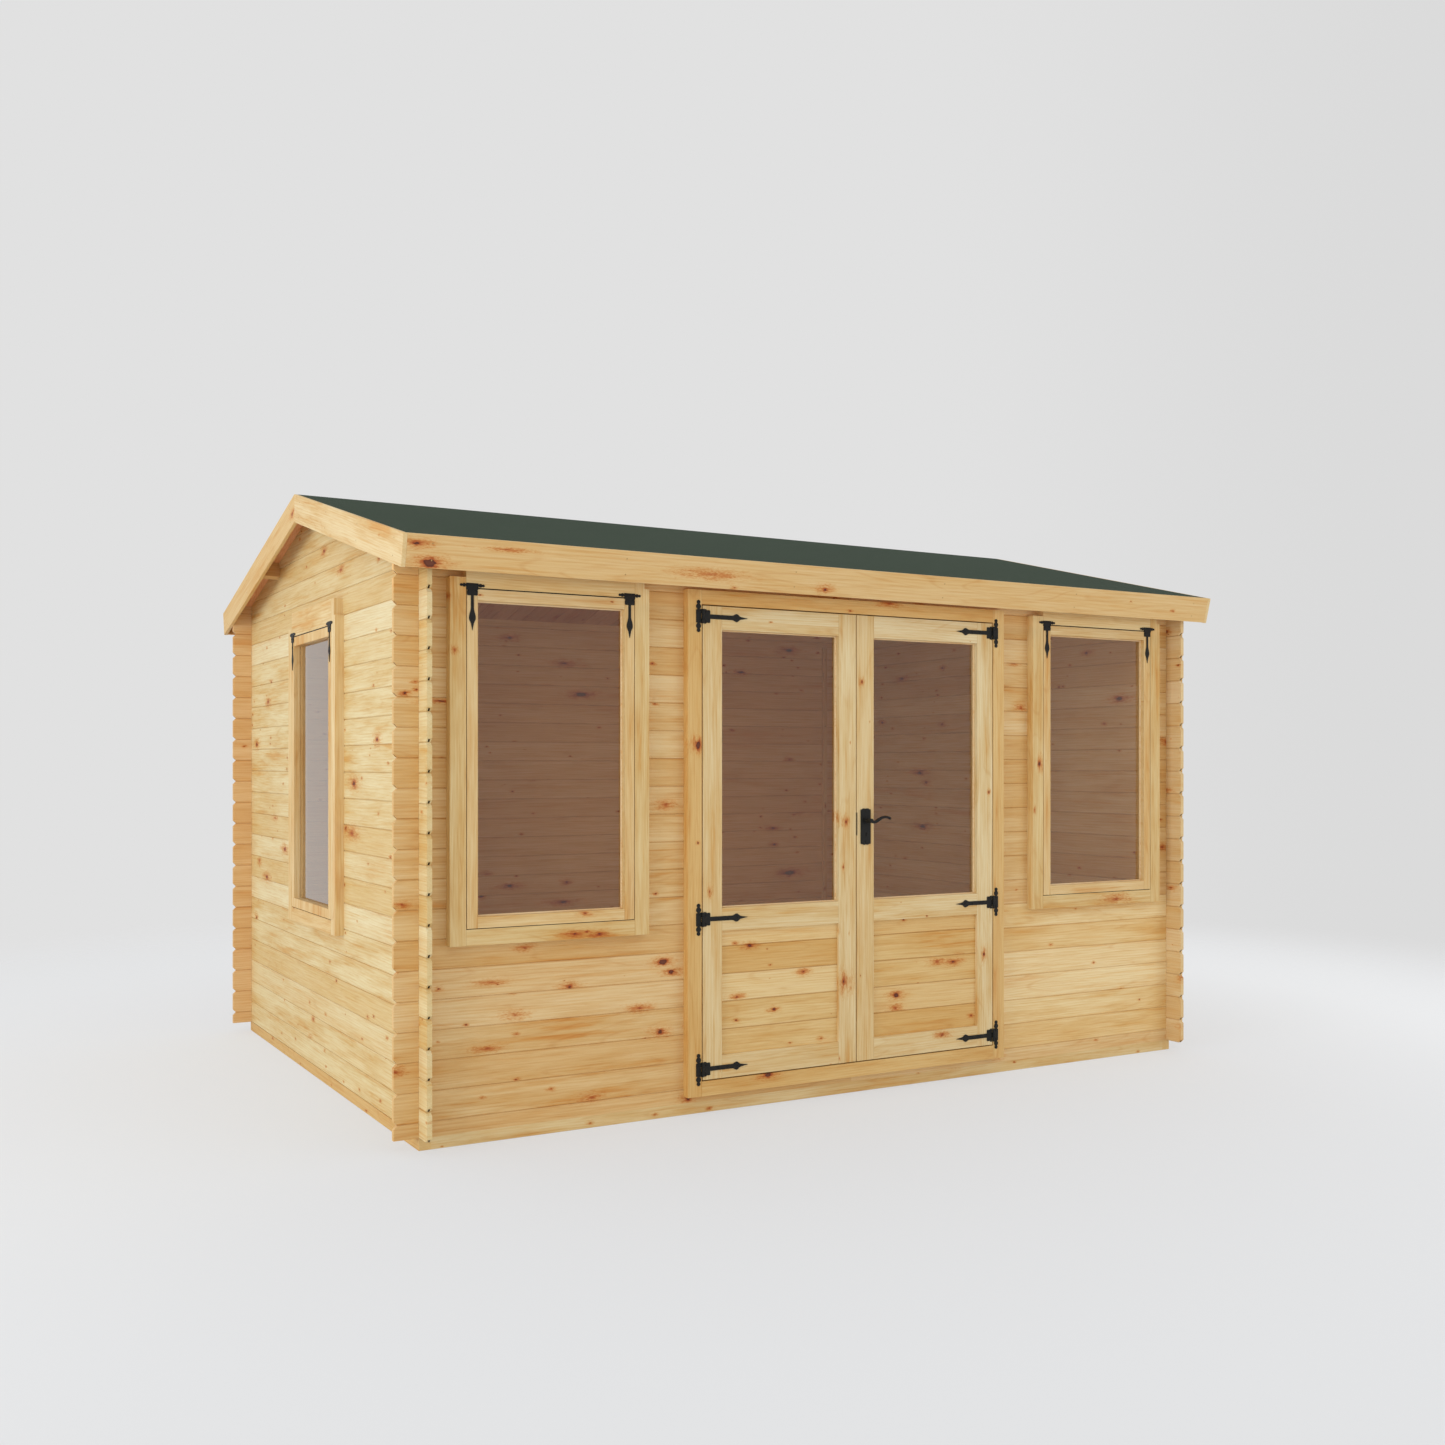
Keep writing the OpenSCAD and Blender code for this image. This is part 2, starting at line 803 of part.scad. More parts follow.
// Leaf of one hinge with its middle knuckle; the pin is at the origin, the leaf towards +X
module hinge_strap() {
  union() {
    cylinder(r = knuckle_r, h = knuckle_h, center = true, $fn = 32);
    translate([0, knuckle_r - strap_t, -knuckle_h / 2])
      cube([hinge_root + strap_t, strap_t, knuckle_h]);
    translate([hinge_root, knuckle_r, 0])
      sheet(strap_t)
        strap_shape(strap_len - hinge_root, block_h, block_len, neck_h, spear_h,
          spear_at - hinge_root, spear_run, spear_tail);
  }
}

// Fixed plate of one hinge with its two outer knuckles; the jamb is towards -X
module hinge_plate() {
  union() {
    for (end = [-1, 1])
      translate([0, 0, end * ((knuckle_h + outer_knuckle_h) / 2 + knuckle_gap)]) {
        cylinder(r = knuckle_r, h = outer_knuckle_h, center = true, $fn = 32);
        translate([-hinge_root - strap_t, knuckle_r - strap_t, -outer_knuckle_h / 2])
          cube([hinge_root + strap_t, strap_t, outer_knuckle_h]);
      }
    translate([-hinge_root - hinge_plate_w / 2, knuckle_r, 0])
      sheet(strap_t)
        plate_shape(hinge_plate_w, hinge_plate_h, finial_r);
  }
}

// Places its children at the hinges of the left leaf (side -1) or the right leaf (side 1)
module at_hinges(side) {
  for (z = hinge_z)
    translate([side * pin_x, pin_y, z])
      rotate([0, side > 0 ? 180 : 0, 0])
        children();
}

module door_hinge_plates() {
  color("dimgray")
    for (side = [-1, 1])
      at_hinges(side)
        hinge_plate();
}

module left_leaf_hinges() {
  color("dimgray")
    at_hinges(-1)
      hinge_strap();
}

module right_leaf_hinges() {
  color("dimgray")
    at_hinges(1)
      hinge_strap();
}

// Top hinge of a window, centred on the gap over the sash at the origin
module window_hinge() {
  sheet(strap_t) {
    rotate(90)
      plate_shape(window_plate_w, window_plate_len, window_finial_r);
    rotate(-90)
      strap_shape(window_strap_len, window_block_w, window_block_len, window_neck_w, window_spear_w,
        window_spear_at, window_spear_run, window_spear_tail);
  }
}

module window_hinge_pair(hole_w) {
  hinge_x = hole_w / 2 - jamb_in - sash_gap - window_hinge_at;
  for (side = [-1, 1])
    translate([side * hinge_x, -frame_out, window_clear_h + window_hinge_up])
      window_hinge();
}

module window_hinges() {
  color("dimgray") {
    at_front_windows()
      window_hinge_pair(window_w);
    at_side_window()
      window_hinge_pair(side_window_w);
  }
}

// Placing of the two leaves, children drawn for the middle of a leaf with its foot at z = 0
module at_leaf(side) {
  translate([side * (leaf_x0 + leaf_w / 2), -half_d, leaf_z0])
    children();
}

// Leaf frame of two stiles and three rails, grooved for its glass and its panel
module leaf_frame() {
  difference() {
    translate([0, leaf_t - frame_out, 0])
      rotate([90, 0, 0])
        linear_extrude(height = leaf_t)
          difference() {
            translate([-leaf_w / 2, 0])
              square([leaf_w, leaf_h]);
            translate([-leaf_clear_w / 2, panel_z0])
              square([leaf_clear_w, panel_h]);
            translate([-leaf_clear_w / 2, glass_z0])
              square([leaf_clear_w, glass_h]);
          }
    translate([0, 0, glass_z0])
      pane_space(leaf_clear_w, glass_h, rebate);
    translate([-leaf_clear_w / 2 - rebate, board_set - frame_out, panel_z0 - rebate])
      cube([leaf_clear_w + 2 * rebate, board_t, panel_h + 2 * rebate]);
  }
}

// Boards of the lower panel, level, with V grooves on both faces at their joints
module leaf_panel() {
  lap = rebate - rebate_gap;
  z0 = panel_z0 - lap;
  z1 = panel_z0 + panel_h + lap;
  y0 = board_set - frame_out;
  count = floor((z1 - z0) / board_cover);
  first = panel_z0 + panel_h - top_board_h;
  cuts = [for (i = [count : -1 : 0]) if (first - i * board_cover > z0 + board_groove)
    first - i * board_cover];
  translate([-leaf_clear_w / 2 - lap, 0, 0])
    rotate([90, 0, 90])
      linear_extrude(height = leaf_clear_w + 2 * lap)
        polygon(concat(v_edge(y0, board_groove, board_groove, cuts, z0, z1),
          turned(v_edge(y0 + board_t, -board_groove, board_groove, cuts, z0, z1))));
}

module leaf_glass() {
  translate([0, 0, glass_z0])
    pane_space(leaf_clear_w, glass_h, rebate - rebate_gap);
}

module left_leaf() {
  color("burlywood")
    at_leaf(-1)
      leaf_frame();
}

// Plate of the lock, flush in the meeting edge of the right leaf
module lock_plate() {
  translate([leaf_x0, face_y + lock_set, leaf_z0 + handle_at + lock_up - lock_h / 2])
    cube([lock_t, lock_w, lock_h]);
}

module right_leaf() {
  color("burlywood")
    difference() {
      at_leaf(1)
        leaf_frame();
      lock_plate();
    }
}

module left_leaf_panel() {
  color("burlywood")
    at_leaf(-1)
      leaf_panel();
}

module right_leaf_panel() {
  color("burlywood")
    at_leaf(1)
      leaf_panel();
}

module left_leaf_glass() {
  color("slategray")
    at_leaf(-1)
      leaf_glass();
}

module right_leaf_glass() {
  color("slategray")
    at_leaf(1)
      leaf_glass();
}

// Plate of the handle with a wavy top and foot
module handle_plate_shape() {
  w = handle_plate_w;
  h = handle_plate_h / 2;
  top = [[0.5 * w, h - 1.6 * scallop], [0.46 * w, h - scallop], [0.33 * w, h - 0.9 * scallop],
    [0.27 * w, h - 0.2 * scallop], [0.18 * w, h], [0.09 * w, h - 0.2 * scallop], [0, h - 0.6 * scallop]];
  right = concat([for (p = turned(top)) [p[0], -p[1]]], top);
  polygon(concat(right, [for (p = turned(right)) if (p[0] > 0) [-p[0], p[1]]]));
}

// Keyhole seen from outside: a round part over a slot
module keyhole_shape() {
  circle(r = key_r, $fn = 24);
  translate([-key_r / 2, -3 * key_r])
    square([key_r, 3 * key_r]);
}

function lever_pt(i) = [lever_path[i][0] * lever_len, lever_path[i][1] * lever_wave];
function lever_run(i) = lever_pt(min(i + 1, len(lever_path) - 1)) - lever_pt(max(i - 1, 0));
function lever_half(i) = (lever_h + (lever_end_h - lever_h) * lever_path[i][0]) / 2;

// Point on one edge of the lever's grip, side 1 over and -1 under its middle line
function lever_edge(i, side) =
  lever_pt(i) + side * lever_half(i) / norm(lever_run(i)) * [-lever_run(i)[1], lever_run(i)[0]];

module lever_shape() {
  last = len(lever_path) - 1;
  polygon(concat([for (i = [0 : last]) lever_edge(i, 1)], [for (i = [last : -1 : 0]) lever_edge(i, -1)]));
}

// Lever handle on its plate, on the closing stile of the right leaf, and the plate of its lock
module door_handle() {
  color("dimgray") {
    lock_plate();
    translate([leaf_x0 + stile_w / 2, face_y, leaf_z0 + handle_at])
      union() {
        difference() {
          sheet(handle_plate_t)
            handle_plate_shape();
          translate([0, -handle_plate_t / 2, -key_down])
            sheet(handle_plate_t)
              keyhole_shape();
        }
        translate([0, 0, spindle_up]) {
          sheet(handle_plate_t + rose_t)
            circle(r = rose_r, $fn = 48);
          sheet(lever_out)
            circle(r = boss_r, $fn = 32);
          translate([0, lever_t - lever_out, 0])
            sheet(lever_t)
              lever_shape();
        }
      }
  }
}

front_sill_log();
front_wall_left_lower();
front_wall_left_corner();
front_wall_left_pier();
front_wall_right_lower();
front_wall_right_corner();
front_wall_right_pier();
front_wall_head();
left_wall_lower();
left_wall_front();
left_wall_back();
left_gable();
right_wall();
right_gable();
back_wall();
side_bearers();
cross_bearers();
floor_joists();
floor_boards();
purlins();
roof_boards_front();
roof_boards_back();
roof_felt();
left_bargeboard_front();
left_bargeboard_back();
right_bargeboard_front();
right_bargeboard_back();
front_fascia();
back_fascia();
door_frame();
door_hinge_plates();
front_window_frames();
side_window_frame();
window_sashes();
window_glass();
window_hinges();
left_leaf();
left_leaf_panel();
left_leaf_glass();
left_leaf_hinges();
right_leaf();
right_leaf_panel();
right_leaf_glass();
right_leaf_hinges();
door_handle();
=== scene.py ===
"""Looks of the log cabin, in metres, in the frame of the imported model."""
import math

import bmesh
import bpy
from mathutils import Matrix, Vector

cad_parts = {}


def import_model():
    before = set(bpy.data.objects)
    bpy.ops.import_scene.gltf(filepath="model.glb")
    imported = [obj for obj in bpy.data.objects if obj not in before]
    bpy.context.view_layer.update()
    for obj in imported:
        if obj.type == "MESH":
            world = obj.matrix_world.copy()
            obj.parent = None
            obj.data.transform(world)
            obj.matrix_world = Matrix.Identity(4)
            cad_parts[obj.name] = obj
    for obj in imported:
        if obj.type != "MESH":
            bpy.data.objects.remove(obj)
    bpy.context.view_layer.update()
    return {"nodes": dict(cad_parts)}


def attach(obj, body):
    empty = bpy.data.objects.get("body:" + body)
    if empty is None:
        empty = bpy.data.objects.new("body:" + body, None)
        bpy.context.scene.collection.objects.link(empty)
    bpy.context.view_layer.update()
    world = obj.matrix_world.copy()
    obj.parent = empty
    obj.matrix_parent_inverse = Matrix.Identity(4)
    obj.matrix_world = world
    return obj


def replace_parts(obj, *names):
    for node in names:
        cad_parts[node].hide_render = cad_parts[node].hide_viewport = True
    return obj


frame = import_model()

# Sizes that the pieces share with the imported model: walls
HALF_W, HALF_D = 1.900, 1.3925
LOG_T, COVER, RUN = 0.019, 0.110, 0.093
FRONT_SEAM, SIDE_SEAM = 0.101, 0.046
TONGUE_HALF = 0.0037
FRAME_OUT = 0.038
FACE_Y = -HALF_D - FRAME_OUT
# Floor
FLOOR_X, FLOOR_Y, FLOOR_Z, FLOOR_T = HALF_W - 0.021, HALF_D - 0.021, 0.065, 0.019
FLOOR_COUNT = 29
FLOOR_BOARD = 2 * FLOOR_Y / FLOOR_COUNT
# Roof: ROOF_T is the boards with the felt, SLOPE runs from the ridge to the fascia's face
PITCH = math.radians(13.9)
COS, SIN, TAN = math.cos(PITCH), math.sin(PITCH), math.tan(PITCH)
WALL_TOP = 2.226
ROOF_T, FELT_T, EDGE_T = 0.018, 0.003, 0.016
RIDGE = WALL_TOP + HALF_D * TAN + ROOF_T / COS
SLOPE = (HALF_D + 0.164) / COS
ROOF_X = HALF_W + RUN
ROOF_COUNT = 42
ROOF_BOARD = 2 * ROOF_X / ROOF_COUNT
# Door
DOOR_HALF = 0.7505
LEAF_X, LEAF_W, STILE_W = 0.374, 0.743, 0.088
LEAF_PANE_FOOT, LEAF_PANE_H = 0.821, 1.1185
PANEL_COVER, PANEL_SEAM = 0.1115, 0.6655
PIN_X = 0.748
HINGE_Z = (0.1815, 0.7795, 1.9885)
IRON_Y = FACE_Y - 0.003
HANDLE_X, HANDLE_Z, HANDLE_T = 0.0465, 1.1335, 0.005
LOCK_FOOT, LOCK_HEAD = 1.097, 1.194
# Windows: clear openings, their feet, sashes (whose grain turns at SASH_TURN) and hinges
WINDOW_X, WINDOW_W, WINDOW_H = 1.391, 0.686, 1.2495
FRONT_FOOT, SIDE_FOOT = 0.7935, 0.7385
SASH_GAP, SASH_BAR, SASH_TURN = 0.003, 0.042, 0.299
WINDOW_HINGE_IN, WINDOW_HINGE_UP = 0.020, 0.009
# Heights for the paint: over which painted light lifts the shadow under the eaves, and between a
# frame's foot and head
EAVES_Z, MIDDLE_Z = 2.06, 1.3
OUT_FRONT, OUT_LEFT = (0, -1, 0), (-1, 0, 0)
WHITE = (1.0, 1.0, 1.0, 1.0)


def lin(r, g, b):
    """Linear colour of an 8-bit sRGB colour."""
    return tuple(((c / 255 + 0.055) / 1.055) ** 2.4 for c in (r, g, b)) + (1.0,)


def times(color, r, g, b):
    return (color[0] * r, color[1] * g, color[2] * b, 1.0)


class Nodes:
    """Builds one node tree with short calls."""

    def __init__(self, tree):
        self.tree = tree
        tree.nodes.clear()

    def add(self, kind, inputs=None, out=0, **props):
        """Output of a new node. In inputs, a socket is linked and anything else is a value."""
        node = self.tree.nodes.new("ShaderNode" + kind)
        for key, value in props.items():
            setattr(node, key, value)
        for key, value in (inputs or {}).items():
            if isinstance(value, bpy.types.NodeSocket):
                self.tree.links.new(value, node.inputs[key])
            elif value is not None:
                node.inputs[key].default_value = value
        return node.outputs[out] if node.outputs else node

    def math(self, op, a, b=None, clamp=False):
        return self.add("Math", {0: a, 1: b}, operation=op, use_clamp=clamp)

    def plus(self, a, b):
        return self.math("ADD", a, b)

    def minus(self, a, b):
        return self.math("SUBTRACT", a, b)

    def by(self, a, b):
        return self.math("MULTIPLY", a, b)

    def size(self, a):
        return self.math("ABSOLUTE", a)

    def over(self, a, b):
        return self.math("GREATER_THAN", a, b)

    def under(self, a, b):
        return self.math("LESS_THAN", a, b)

    def vec(self, op, a, b=None, out=0):
        return self.add("VectorMath", {0: a, 1: b}, out=out, operation=op)

    def length(self, vector):
        return self.vec("LENGTH", vector, out=1)

    def dot(self, vector, way):
        return self.vec("DOT_PRODUCT", vector, way, out=1)

    def xyz(self, x=0.0, y=0.0, z=0.0):
        return self.add("CombineXYZ", {0: x, 1: y, 2: z})

    def parts(self, vector):
        return self.add("SeparateXYZ", {0: vector}).node.outputs

    def channels(self, color):
        return self.add("SeparateColor", {0: color}).node.outputs

    def smooth(self, x, lo, hi, a=0.0, b=1.0):
        """a below lo, b above hi, smooth between."""
        values = {0: x, 1: lo, 2: hi, 3: a, 4: b}
        return self.add("MapRange", values, interpolation_type="SMOOTHSTEP")

    def mix(self, fac, a, b, blend="MIX"):
        values = {0: fac, 6: a, 7: b}
        return self.add("Mix", values, out=2, data_type="RGBA", blend_type=blend)

    def tint(self, color, amount, shade):
        """color multiplied by shade, as far as amount says."""
        return self.mix(amount, color, shade + (1.0,), "MULTIPLY")

    def noise(self, vector, scale=1.0, detail=2.0, rough=0.5):
        return self.add("TexNoise", {
            "Vector": vector, "Scale": scale, "Detail": detail, "Roughness": rough})

    def stretched(self, vector, scales, detail=2.0, rough=0.5):
        """Noise of its own scale along each axis."""
        return self.noise(self.vec("MULTIPLY", vector, scales), 1.0, detail, rough)

    def draw(self, number, out):
        """Random draw that belongs to a number."""
        return self.add("TexWhiteNoise", {"W": number}, out=out, noise_dimensions="1D")

    def bump(self, height, strength, distance):
        return self.add("Bump", {"Strength": strength, "Distance": distance, "Height": height})

    def surface(self, shader):
        self.add("OutputMaterial", {"Surface": shader})

    def skin(self, color, roughness, normal, metallic=0.0, specular=0.5):
        """The whole surface from one principled shader."""
        self.surface(self.add("BsdfPrincipled", {
            "Base Color": color, "Roughness": roughness, "Normal": normal, "Metallic": metallic,
            "Specular IOR Level": specular}))


def material(name):
    mat = bpy.data.materials.new(name)
    mat.use_nodes = True
    return mat, Nodes(mat.node_tree)


def frame_grain(n, along, up, end, split):
    """Grain of a frame of upright stiles and level rails: (along, up, end, joint, board).

    split = (centre, half) is where the frame's middle lies on both sides of 0, and how far from
    it the stiles start. joint is 1 on the line between stile and rail.
    """
    centre, half = split
    both = 1.0 if centre else 0.0
    off = n.size(n.minus(n.size(along), centre)) if centre else n.size(along)
    upright = n.over(off, half - 0.0005)
    joint = n.by(n.under(n.size(n.minus(off, half)), 0.0007), n.under(end, 0.5))
    rails = n.plus(n.by(n.math("SIGN", along), both),
                   n.by(n.math("SIGN", n.minus(up, MIDDLE_Z)), 2.0))
    stiles = n.plus(n.math("SIGN", along),
                    n.by(n.math("SIGN", n.minus(n.size(along), centre)), 2.0 * both))
    level = n.minus(1.0, upright)
    board = n.plus(n.by(upright, stiles), n.by(level, n.plus(rails, 9.0)))
    swap = n.by(n.minus(up, along), upright)
    return n.plus(along, swap), n.minus(up, swap), n.by(end, level), joint, board


# Stain round a knot in multiples of its radii, and how much further off a faint knot seems
STAIN_ALONG, STAIN_UP, FAINT = 4.4, 2.8, 1.1


def knot_masks(n, spot, ragged, specks, knots, knotty):
    """Masks of the knots: (core, heart, rim, halo, bleed).

    knots are (x, y, radius in x, radius in y, strength), with x and y measured from each one.
    Two sizes more are scattered over cells. field is 1 at the edge of a knot, and smear is 1 at
    the edge of the stained wood along the grain beside it.
    """
    found = []
    for width, height, most, share in ((0.62, 0.125, 0.0105, 0.60), (0.27, 0.060, 0.0040, 0.62)):
        cells = n.vec("MULTIPLY", spot, (1 / width, 1 / height, 0.0))
        cell = n.add("TexVoronoi", {"Vector": cells, "Scale": 1.0}, voronoi_dimensions="2D").node
        away = n.vec("SUBTRACT", cells, cell.outputs["Position"])
        away = n.parts(n.vec("MULTIPLY", away, (width, height, 0.0)))
        luck = n.channels(cell.outputs["Color"])
        radius = n.smooth(luck[0], 1 - (1 - share) * knotty, 1.0, 0.00005, most)
        radius = n.math("MAXIMUM", radius, 0.00005)
        found.append((away[0], away[1], n.by(radius, 1.35), radius, n.by(luck[1], 0.72)))
    field = smear = None
    for x, y, rx, ry, strength in found + knots:
        near = n.length(n.xyz(n.math("DIVIDE", x, rx), n.math("DIVIDE", y, ry)))
        stain = n.by(rx, STAIN_ALONG), n.by(ry, STAIN_UP)
        far = n.length(n.xyz(n.math("DIVIDE", x, stain[0]), n.math("DIVIDE", y, stain[1])))
        if strength != 1.0:
            near = n.plus(near, n.by(n.minus(1.0, strength), FAINT))
        field = near if field is None else n.math("MINIMUM", field, near)
        smear = far if smear is None else n.math("MINIMUM", smear, far)
    field = n.plus(field, n.plus(ragged, n.by(specks, 0.45)))
    smear = n.plus(smear, n.plus(n.by(ragged, 1.1), specks))
    return (n.smooth(field, 0.82, 1.02, 1.0, 0.0), n.smooth(field, 0.45, 0.80, 1.0, 0.0),
            n.smooth(field, 0.9, 1.9, 1.0, 0.0), n.smooth(smear, 0.15, 1.25, 1.0, 0.0),
            n.smooth(smear, 0.0, 0.78, 1.0, 0.0))


# Order of the axes (along the fibres, up over the boards, deep) for each grain
GRAINS = {"X": (0, 2, 1), "Y": (1, 2, 0), "Z": (2, 0, 1), "flat X": (0, 1, 2), "flat Y": (1, 0, 2)}


def wood(name, tone, grain="X", cover=0.0, seam=0.0, knots=(), seed=0.0, tilt=0.0, split=None,
         vary=1.0, knotty=1.0, halves=0.0, figure=0.28, joint_line=0.45, lively=1.0,
         painted_light_over=None, tips=None, inside=None):
    """Planed pine of an 8-bit tone.

    grain names the axis that its fibres follow, flat for boards that lie side by side. cover is
    the width of the boards, seam the place of one joint between them, and tilt turns the grain
    with the roof. split is what frame_grain says.
    knots are (along, up, radius along, radius up, core) in metres, where a core of 0 is an orange
    patch and 1 a dark knot. knotty is the share of scattered knots.
    vary is how much the boards differ, and halves sets those on the two sides of 0 apart. figure
    is the strength of the growth lines, joint_line that of the lines between the boards, and
    lively that of the blotches and streaks.
    painted_light_over is the height over which painted light makes the wood paler, to lift
    the shadow under the eaves.
    tips = (distance along, distance deep) of the log ends from the middle of the cabin, inside
    whose tongue gaps shade is painted near black. inside is the painted shade, darker and
    cooler, of the wood over the room.
    """
    mat, n = material(name)
    tone = lin(*tone)
    coord, normal = n.add("TexCoord", out="Object"), n.add("TexCoord", out="Normal")
    if tilt:
        coord = n.add("Mapping", {"Vector": coord, "Rotation": (tilt, 0, 0)})
        normal = n.add("Mapping", {"Vector": normal, "Rotation": (tilt, 0, 0)})
    place = n.parts(coord)
    order = GRAINS[grain]
    side, rise, deep = (place[i] for i in order)
    along, up = side, rise
    end = n.size(n.parts(normal)[order[0]])
    board = 0.0
    if split:
        along, up, end, joint, board = frame_grain(n, along, up, end, split)
    if cover:
        course = n.math("DIVIDE", n.minus(up, seam), cover)
        part = n.by(n.over(side, 0.0), halves)
        board = n.plus(n.math("FLOOR", course), part)
        half_board = n.plus(n.math("FLOOR", n.by(course, 2.0)), part)
        off_seam = n.size(n.minus(n.math("FRACT", n.plus(course, 0.5)), 0.5))
        line = n.smooth(off_seam, 0.0010 / cover, 0.0040 / cover, joint_line, 0.0)
    random = n.draw(n.plus(board, seed + 0.37), "Color")
    draws = n.channels(random)
    spot = n.vec("ADD", n.xyz(along, up, deep), n.vec("MULTIPLY", random, (31.0, 0.7, 0.9)))
    ragged = n.by(n.minus(n.stretched(spot, (14.0, 70.0, 30.0), 3.0, 0.6), 0.5), 1.5)
    specks = n.by(n.minus(n.stretched(spot, (70.0, 260.0, 120.0), 3.0, 0.65), 0.5), 1.9)
    single = [(n.minus(side, a), n.minus(rise, b), ra, rb, core) for a, b, ra, rb, core in knots]
    core, heart, rim, halo, bleed = knot_masks(n, spot, ragged, specks, single, knotty)

    # Year rings bent round the knots, fibres, broad blotches and resin streaks
    drift = n.stretched(spot, (0.9, 5.0, 3.0))
    lines = n.plus(n.by(n.plus(up, deep), 85.0), n.plus(n.by(drift, 7.0), n.by(halo, 1.8)))
    wave = n.plus(n.by(n.math("SINE", n.by(lines, 6.283)), 0.5), 0.5)
    ring = n.math("POWER", wave, 2.0)
    fibre = n.stretched(spot, (9.0, 420.0, 260.0), 3.0, 0.6)
    thread = n.stretched(spot, (4.0, 170.0, 90.0), 3.0, 0.65)
    streak = n.stretched(spot, (2.6, 60.0, 30.0), 3.0, 0.6)
    blotch = n.stretched(spot, (1.9, 14.0, 8.0), 4.0, 0.6)
    slow = n.plus(n.by(n.stretched(spot, (0.8, 7.0, 4.0), 1.5, 0.4), 13.0), n.by(halo, 0.9))
    level = n.size(n.minus(n.math("FRACT", slow), 0.5))
    curve = n.by(n.smooth(level, 0.0, 0.13, 1.0, 0.0), n.smooth(blotch, 0.38, 0.58))
    mottle = n.plus(blotch, n.by(n.minus(streak, 0.5), 0.40))
    mottle = n.plus(mottle, n.by(n.minus(fibre, 0.5), 0.22))

    color = n.mix(n.smooth(blotch, 0.34, 0.66, 0.5 - 0.5 * lively, 0.5 + 0.5 * lively),
                  times(tone, 1.07, 1.13, 1.22), times(tone, 0.95, 0.87, 0.72))
    color = n.tint(color, n.smooth(mottle, 0.57, 0.74, 0.0, 0.75 * lively), (0.94, 0.70, 0.40))
    color = n.mix(n.by(n.smooth(draws[0], 0.3, 1.0), 0.85 * vary), color,
                  times(tone, 0.93, 0.80, 0.58))
    color = n.mix(n.by(n.smooth(draws[1], 0.66, 0.92), 0.75 * vary), color,
                  times(tone, 1.13, 1.24, 1.48))
    if cover:
        luck = n.draw(n.plus(half_board, seed + 7.7), "Value")
        color = n.tint(color, n.smooth(luck, 0.55, 0.95, 0.0, 0.45 * vary), (0.95, 0.86, 0.72))
    for amount, shade in (
            (n.by(ring, 0.24), (0.87, 0.72, 0.50)),
            (n.by(curve, figure), (0.80, 0.55, 0.29)),
            (n.smooth(streak, 0.52, 0.74, 0.0, 0.50 * lively), (0.90, 0.70, 0.42)),
            (n.smooth(streak, 0.30, 0.46, 0.45 * lively, 0.0), (1.05, 1.09, 1.22)),
            (n.smooth(fibre, 0.35, 0.8, 0.0, 0.16), (0.84, 0.74, 0.58)),
            (n.smooth(thread, 0.44, 0.68, 0.0, 0.55), (0.86, 0.70, 0.48)),
            (n.by(halo, 0.70), (0.90, 0.58, 0.25)),
            (n.by(rim, 0.80), (0.66, 0.26, 0.09)),
            (n.by(bleed, 0.62), (0.70, 0.31, 0.12))):
        color = n.tint(color, amount, shade)
    color = n.mix(n.by(core, 0.92), color, (0.075, 0.016, 0.007, 1))
    color = n.mix(n.by(heart, 0.70), color, (0.17, 0.048, 0.022, 1))
    color = n.mix(n.by(n.over(end, 0.8), 0.5), color, times(tone, 1.0, 0.94, 0.82))
    if cover:
        color = n.tint(color, line, (0.62, 0.44, 0.28))
    # Painted shade: inside the tongue gaps at the log ends the wood is coloured near black
    if tips:
        reach, middle = tips
        in_tongue = n.under(n.size(n.minus(n.size(deep), middle)), TONGUE_HALF)
        tongue_shade = n.by(n.over(n.size(side), reach), n.by(in_tongue, n.under(end, 0.5)))
        tongue_shade = n.by(tongue_shade, n.smooth(off_seam, 0.010 / cover, 0.014 / cover, 0.75, 0.0))
        color = n.mix(tongue_shade, color, (0.060, 0.025, 0.014, 1))
    if split:
        color = n.mix(n.by(joint, 0.35), color, times(tone, 0.35, 0.22, 0.12))
    # Painted light: above this height the wood is paler, against the shadow under the eaves
    if painted_light_over:
        amount = n.smooth(place[2], painted_light_over - 0.06, painted_light_over)
        color = n.tint(color, amount, (1.18, 1.17, 1.16))
    # Painted shade: the boards over the room are darker and cooler than those of the eaves
    if inside:
        room = n.by(n.under(n.size(place[0]), HALF_W), n.under(n.size(place[1]), HALF_D))
        color = n.tint(color, room, inside)
    height = n.plus(n.by(fibre, 0.5), n.by(ring, -0.6))
    n.skin(color, n.smooth(fibre, 0.2, 0.8, 0.5, 0.66), n.bump(height, 0.35, 0.0006), specular=0.4)
    return mat


def felt():
    """Green mineral felt."""
    mat, n = material("felt")
    coord = n.add("TexCoord", out="Object")
    grain = n.noise(coord, 900.0, 2.0, 0.7)
    fleck = n.noise(coord, 110.0, 3.0, 0.7)
    patch = n.stretched(coord, (1.4, 3.0, 3.0), 4.0, 0.6)
    color = n.mix(n.smooth(grain, 0.3, 0.75), lin(41, 56, 44), lin(77, 92, 74))
    color = n.tint(color, n.smooth(patch, 0.35, 0.7, 0.0, 0.35), (0.82, 0.86, 0.84))
    color = n.tint(color, n.smooth(fleck, 0.35, 0.65, 0.0, 0.5), (0.66, 0.70, 0.68))
    n.skin(color, 0.95, n.bump(grain, 0.6, 0.001), specular=0.2)
    return mat


def iron():
    """Black painted iron with small dents."""
    mat, n = material("iron")
    dents = n.noise(n.add("TexCoord", out="Object"), 160.0, 3.0, 0.6)
    color = n.mix(n.smooth(dents, 0.4, 0.7), lin(18, 18, 16), lin(30, 30, 27))
    rough = n.smooth(dents, 0.3, 0.7, 0.48, 0.66)
    n.skin(color, rough, n.bump(dents, 0.5, 0.0008), specular=0.35)
    return mat


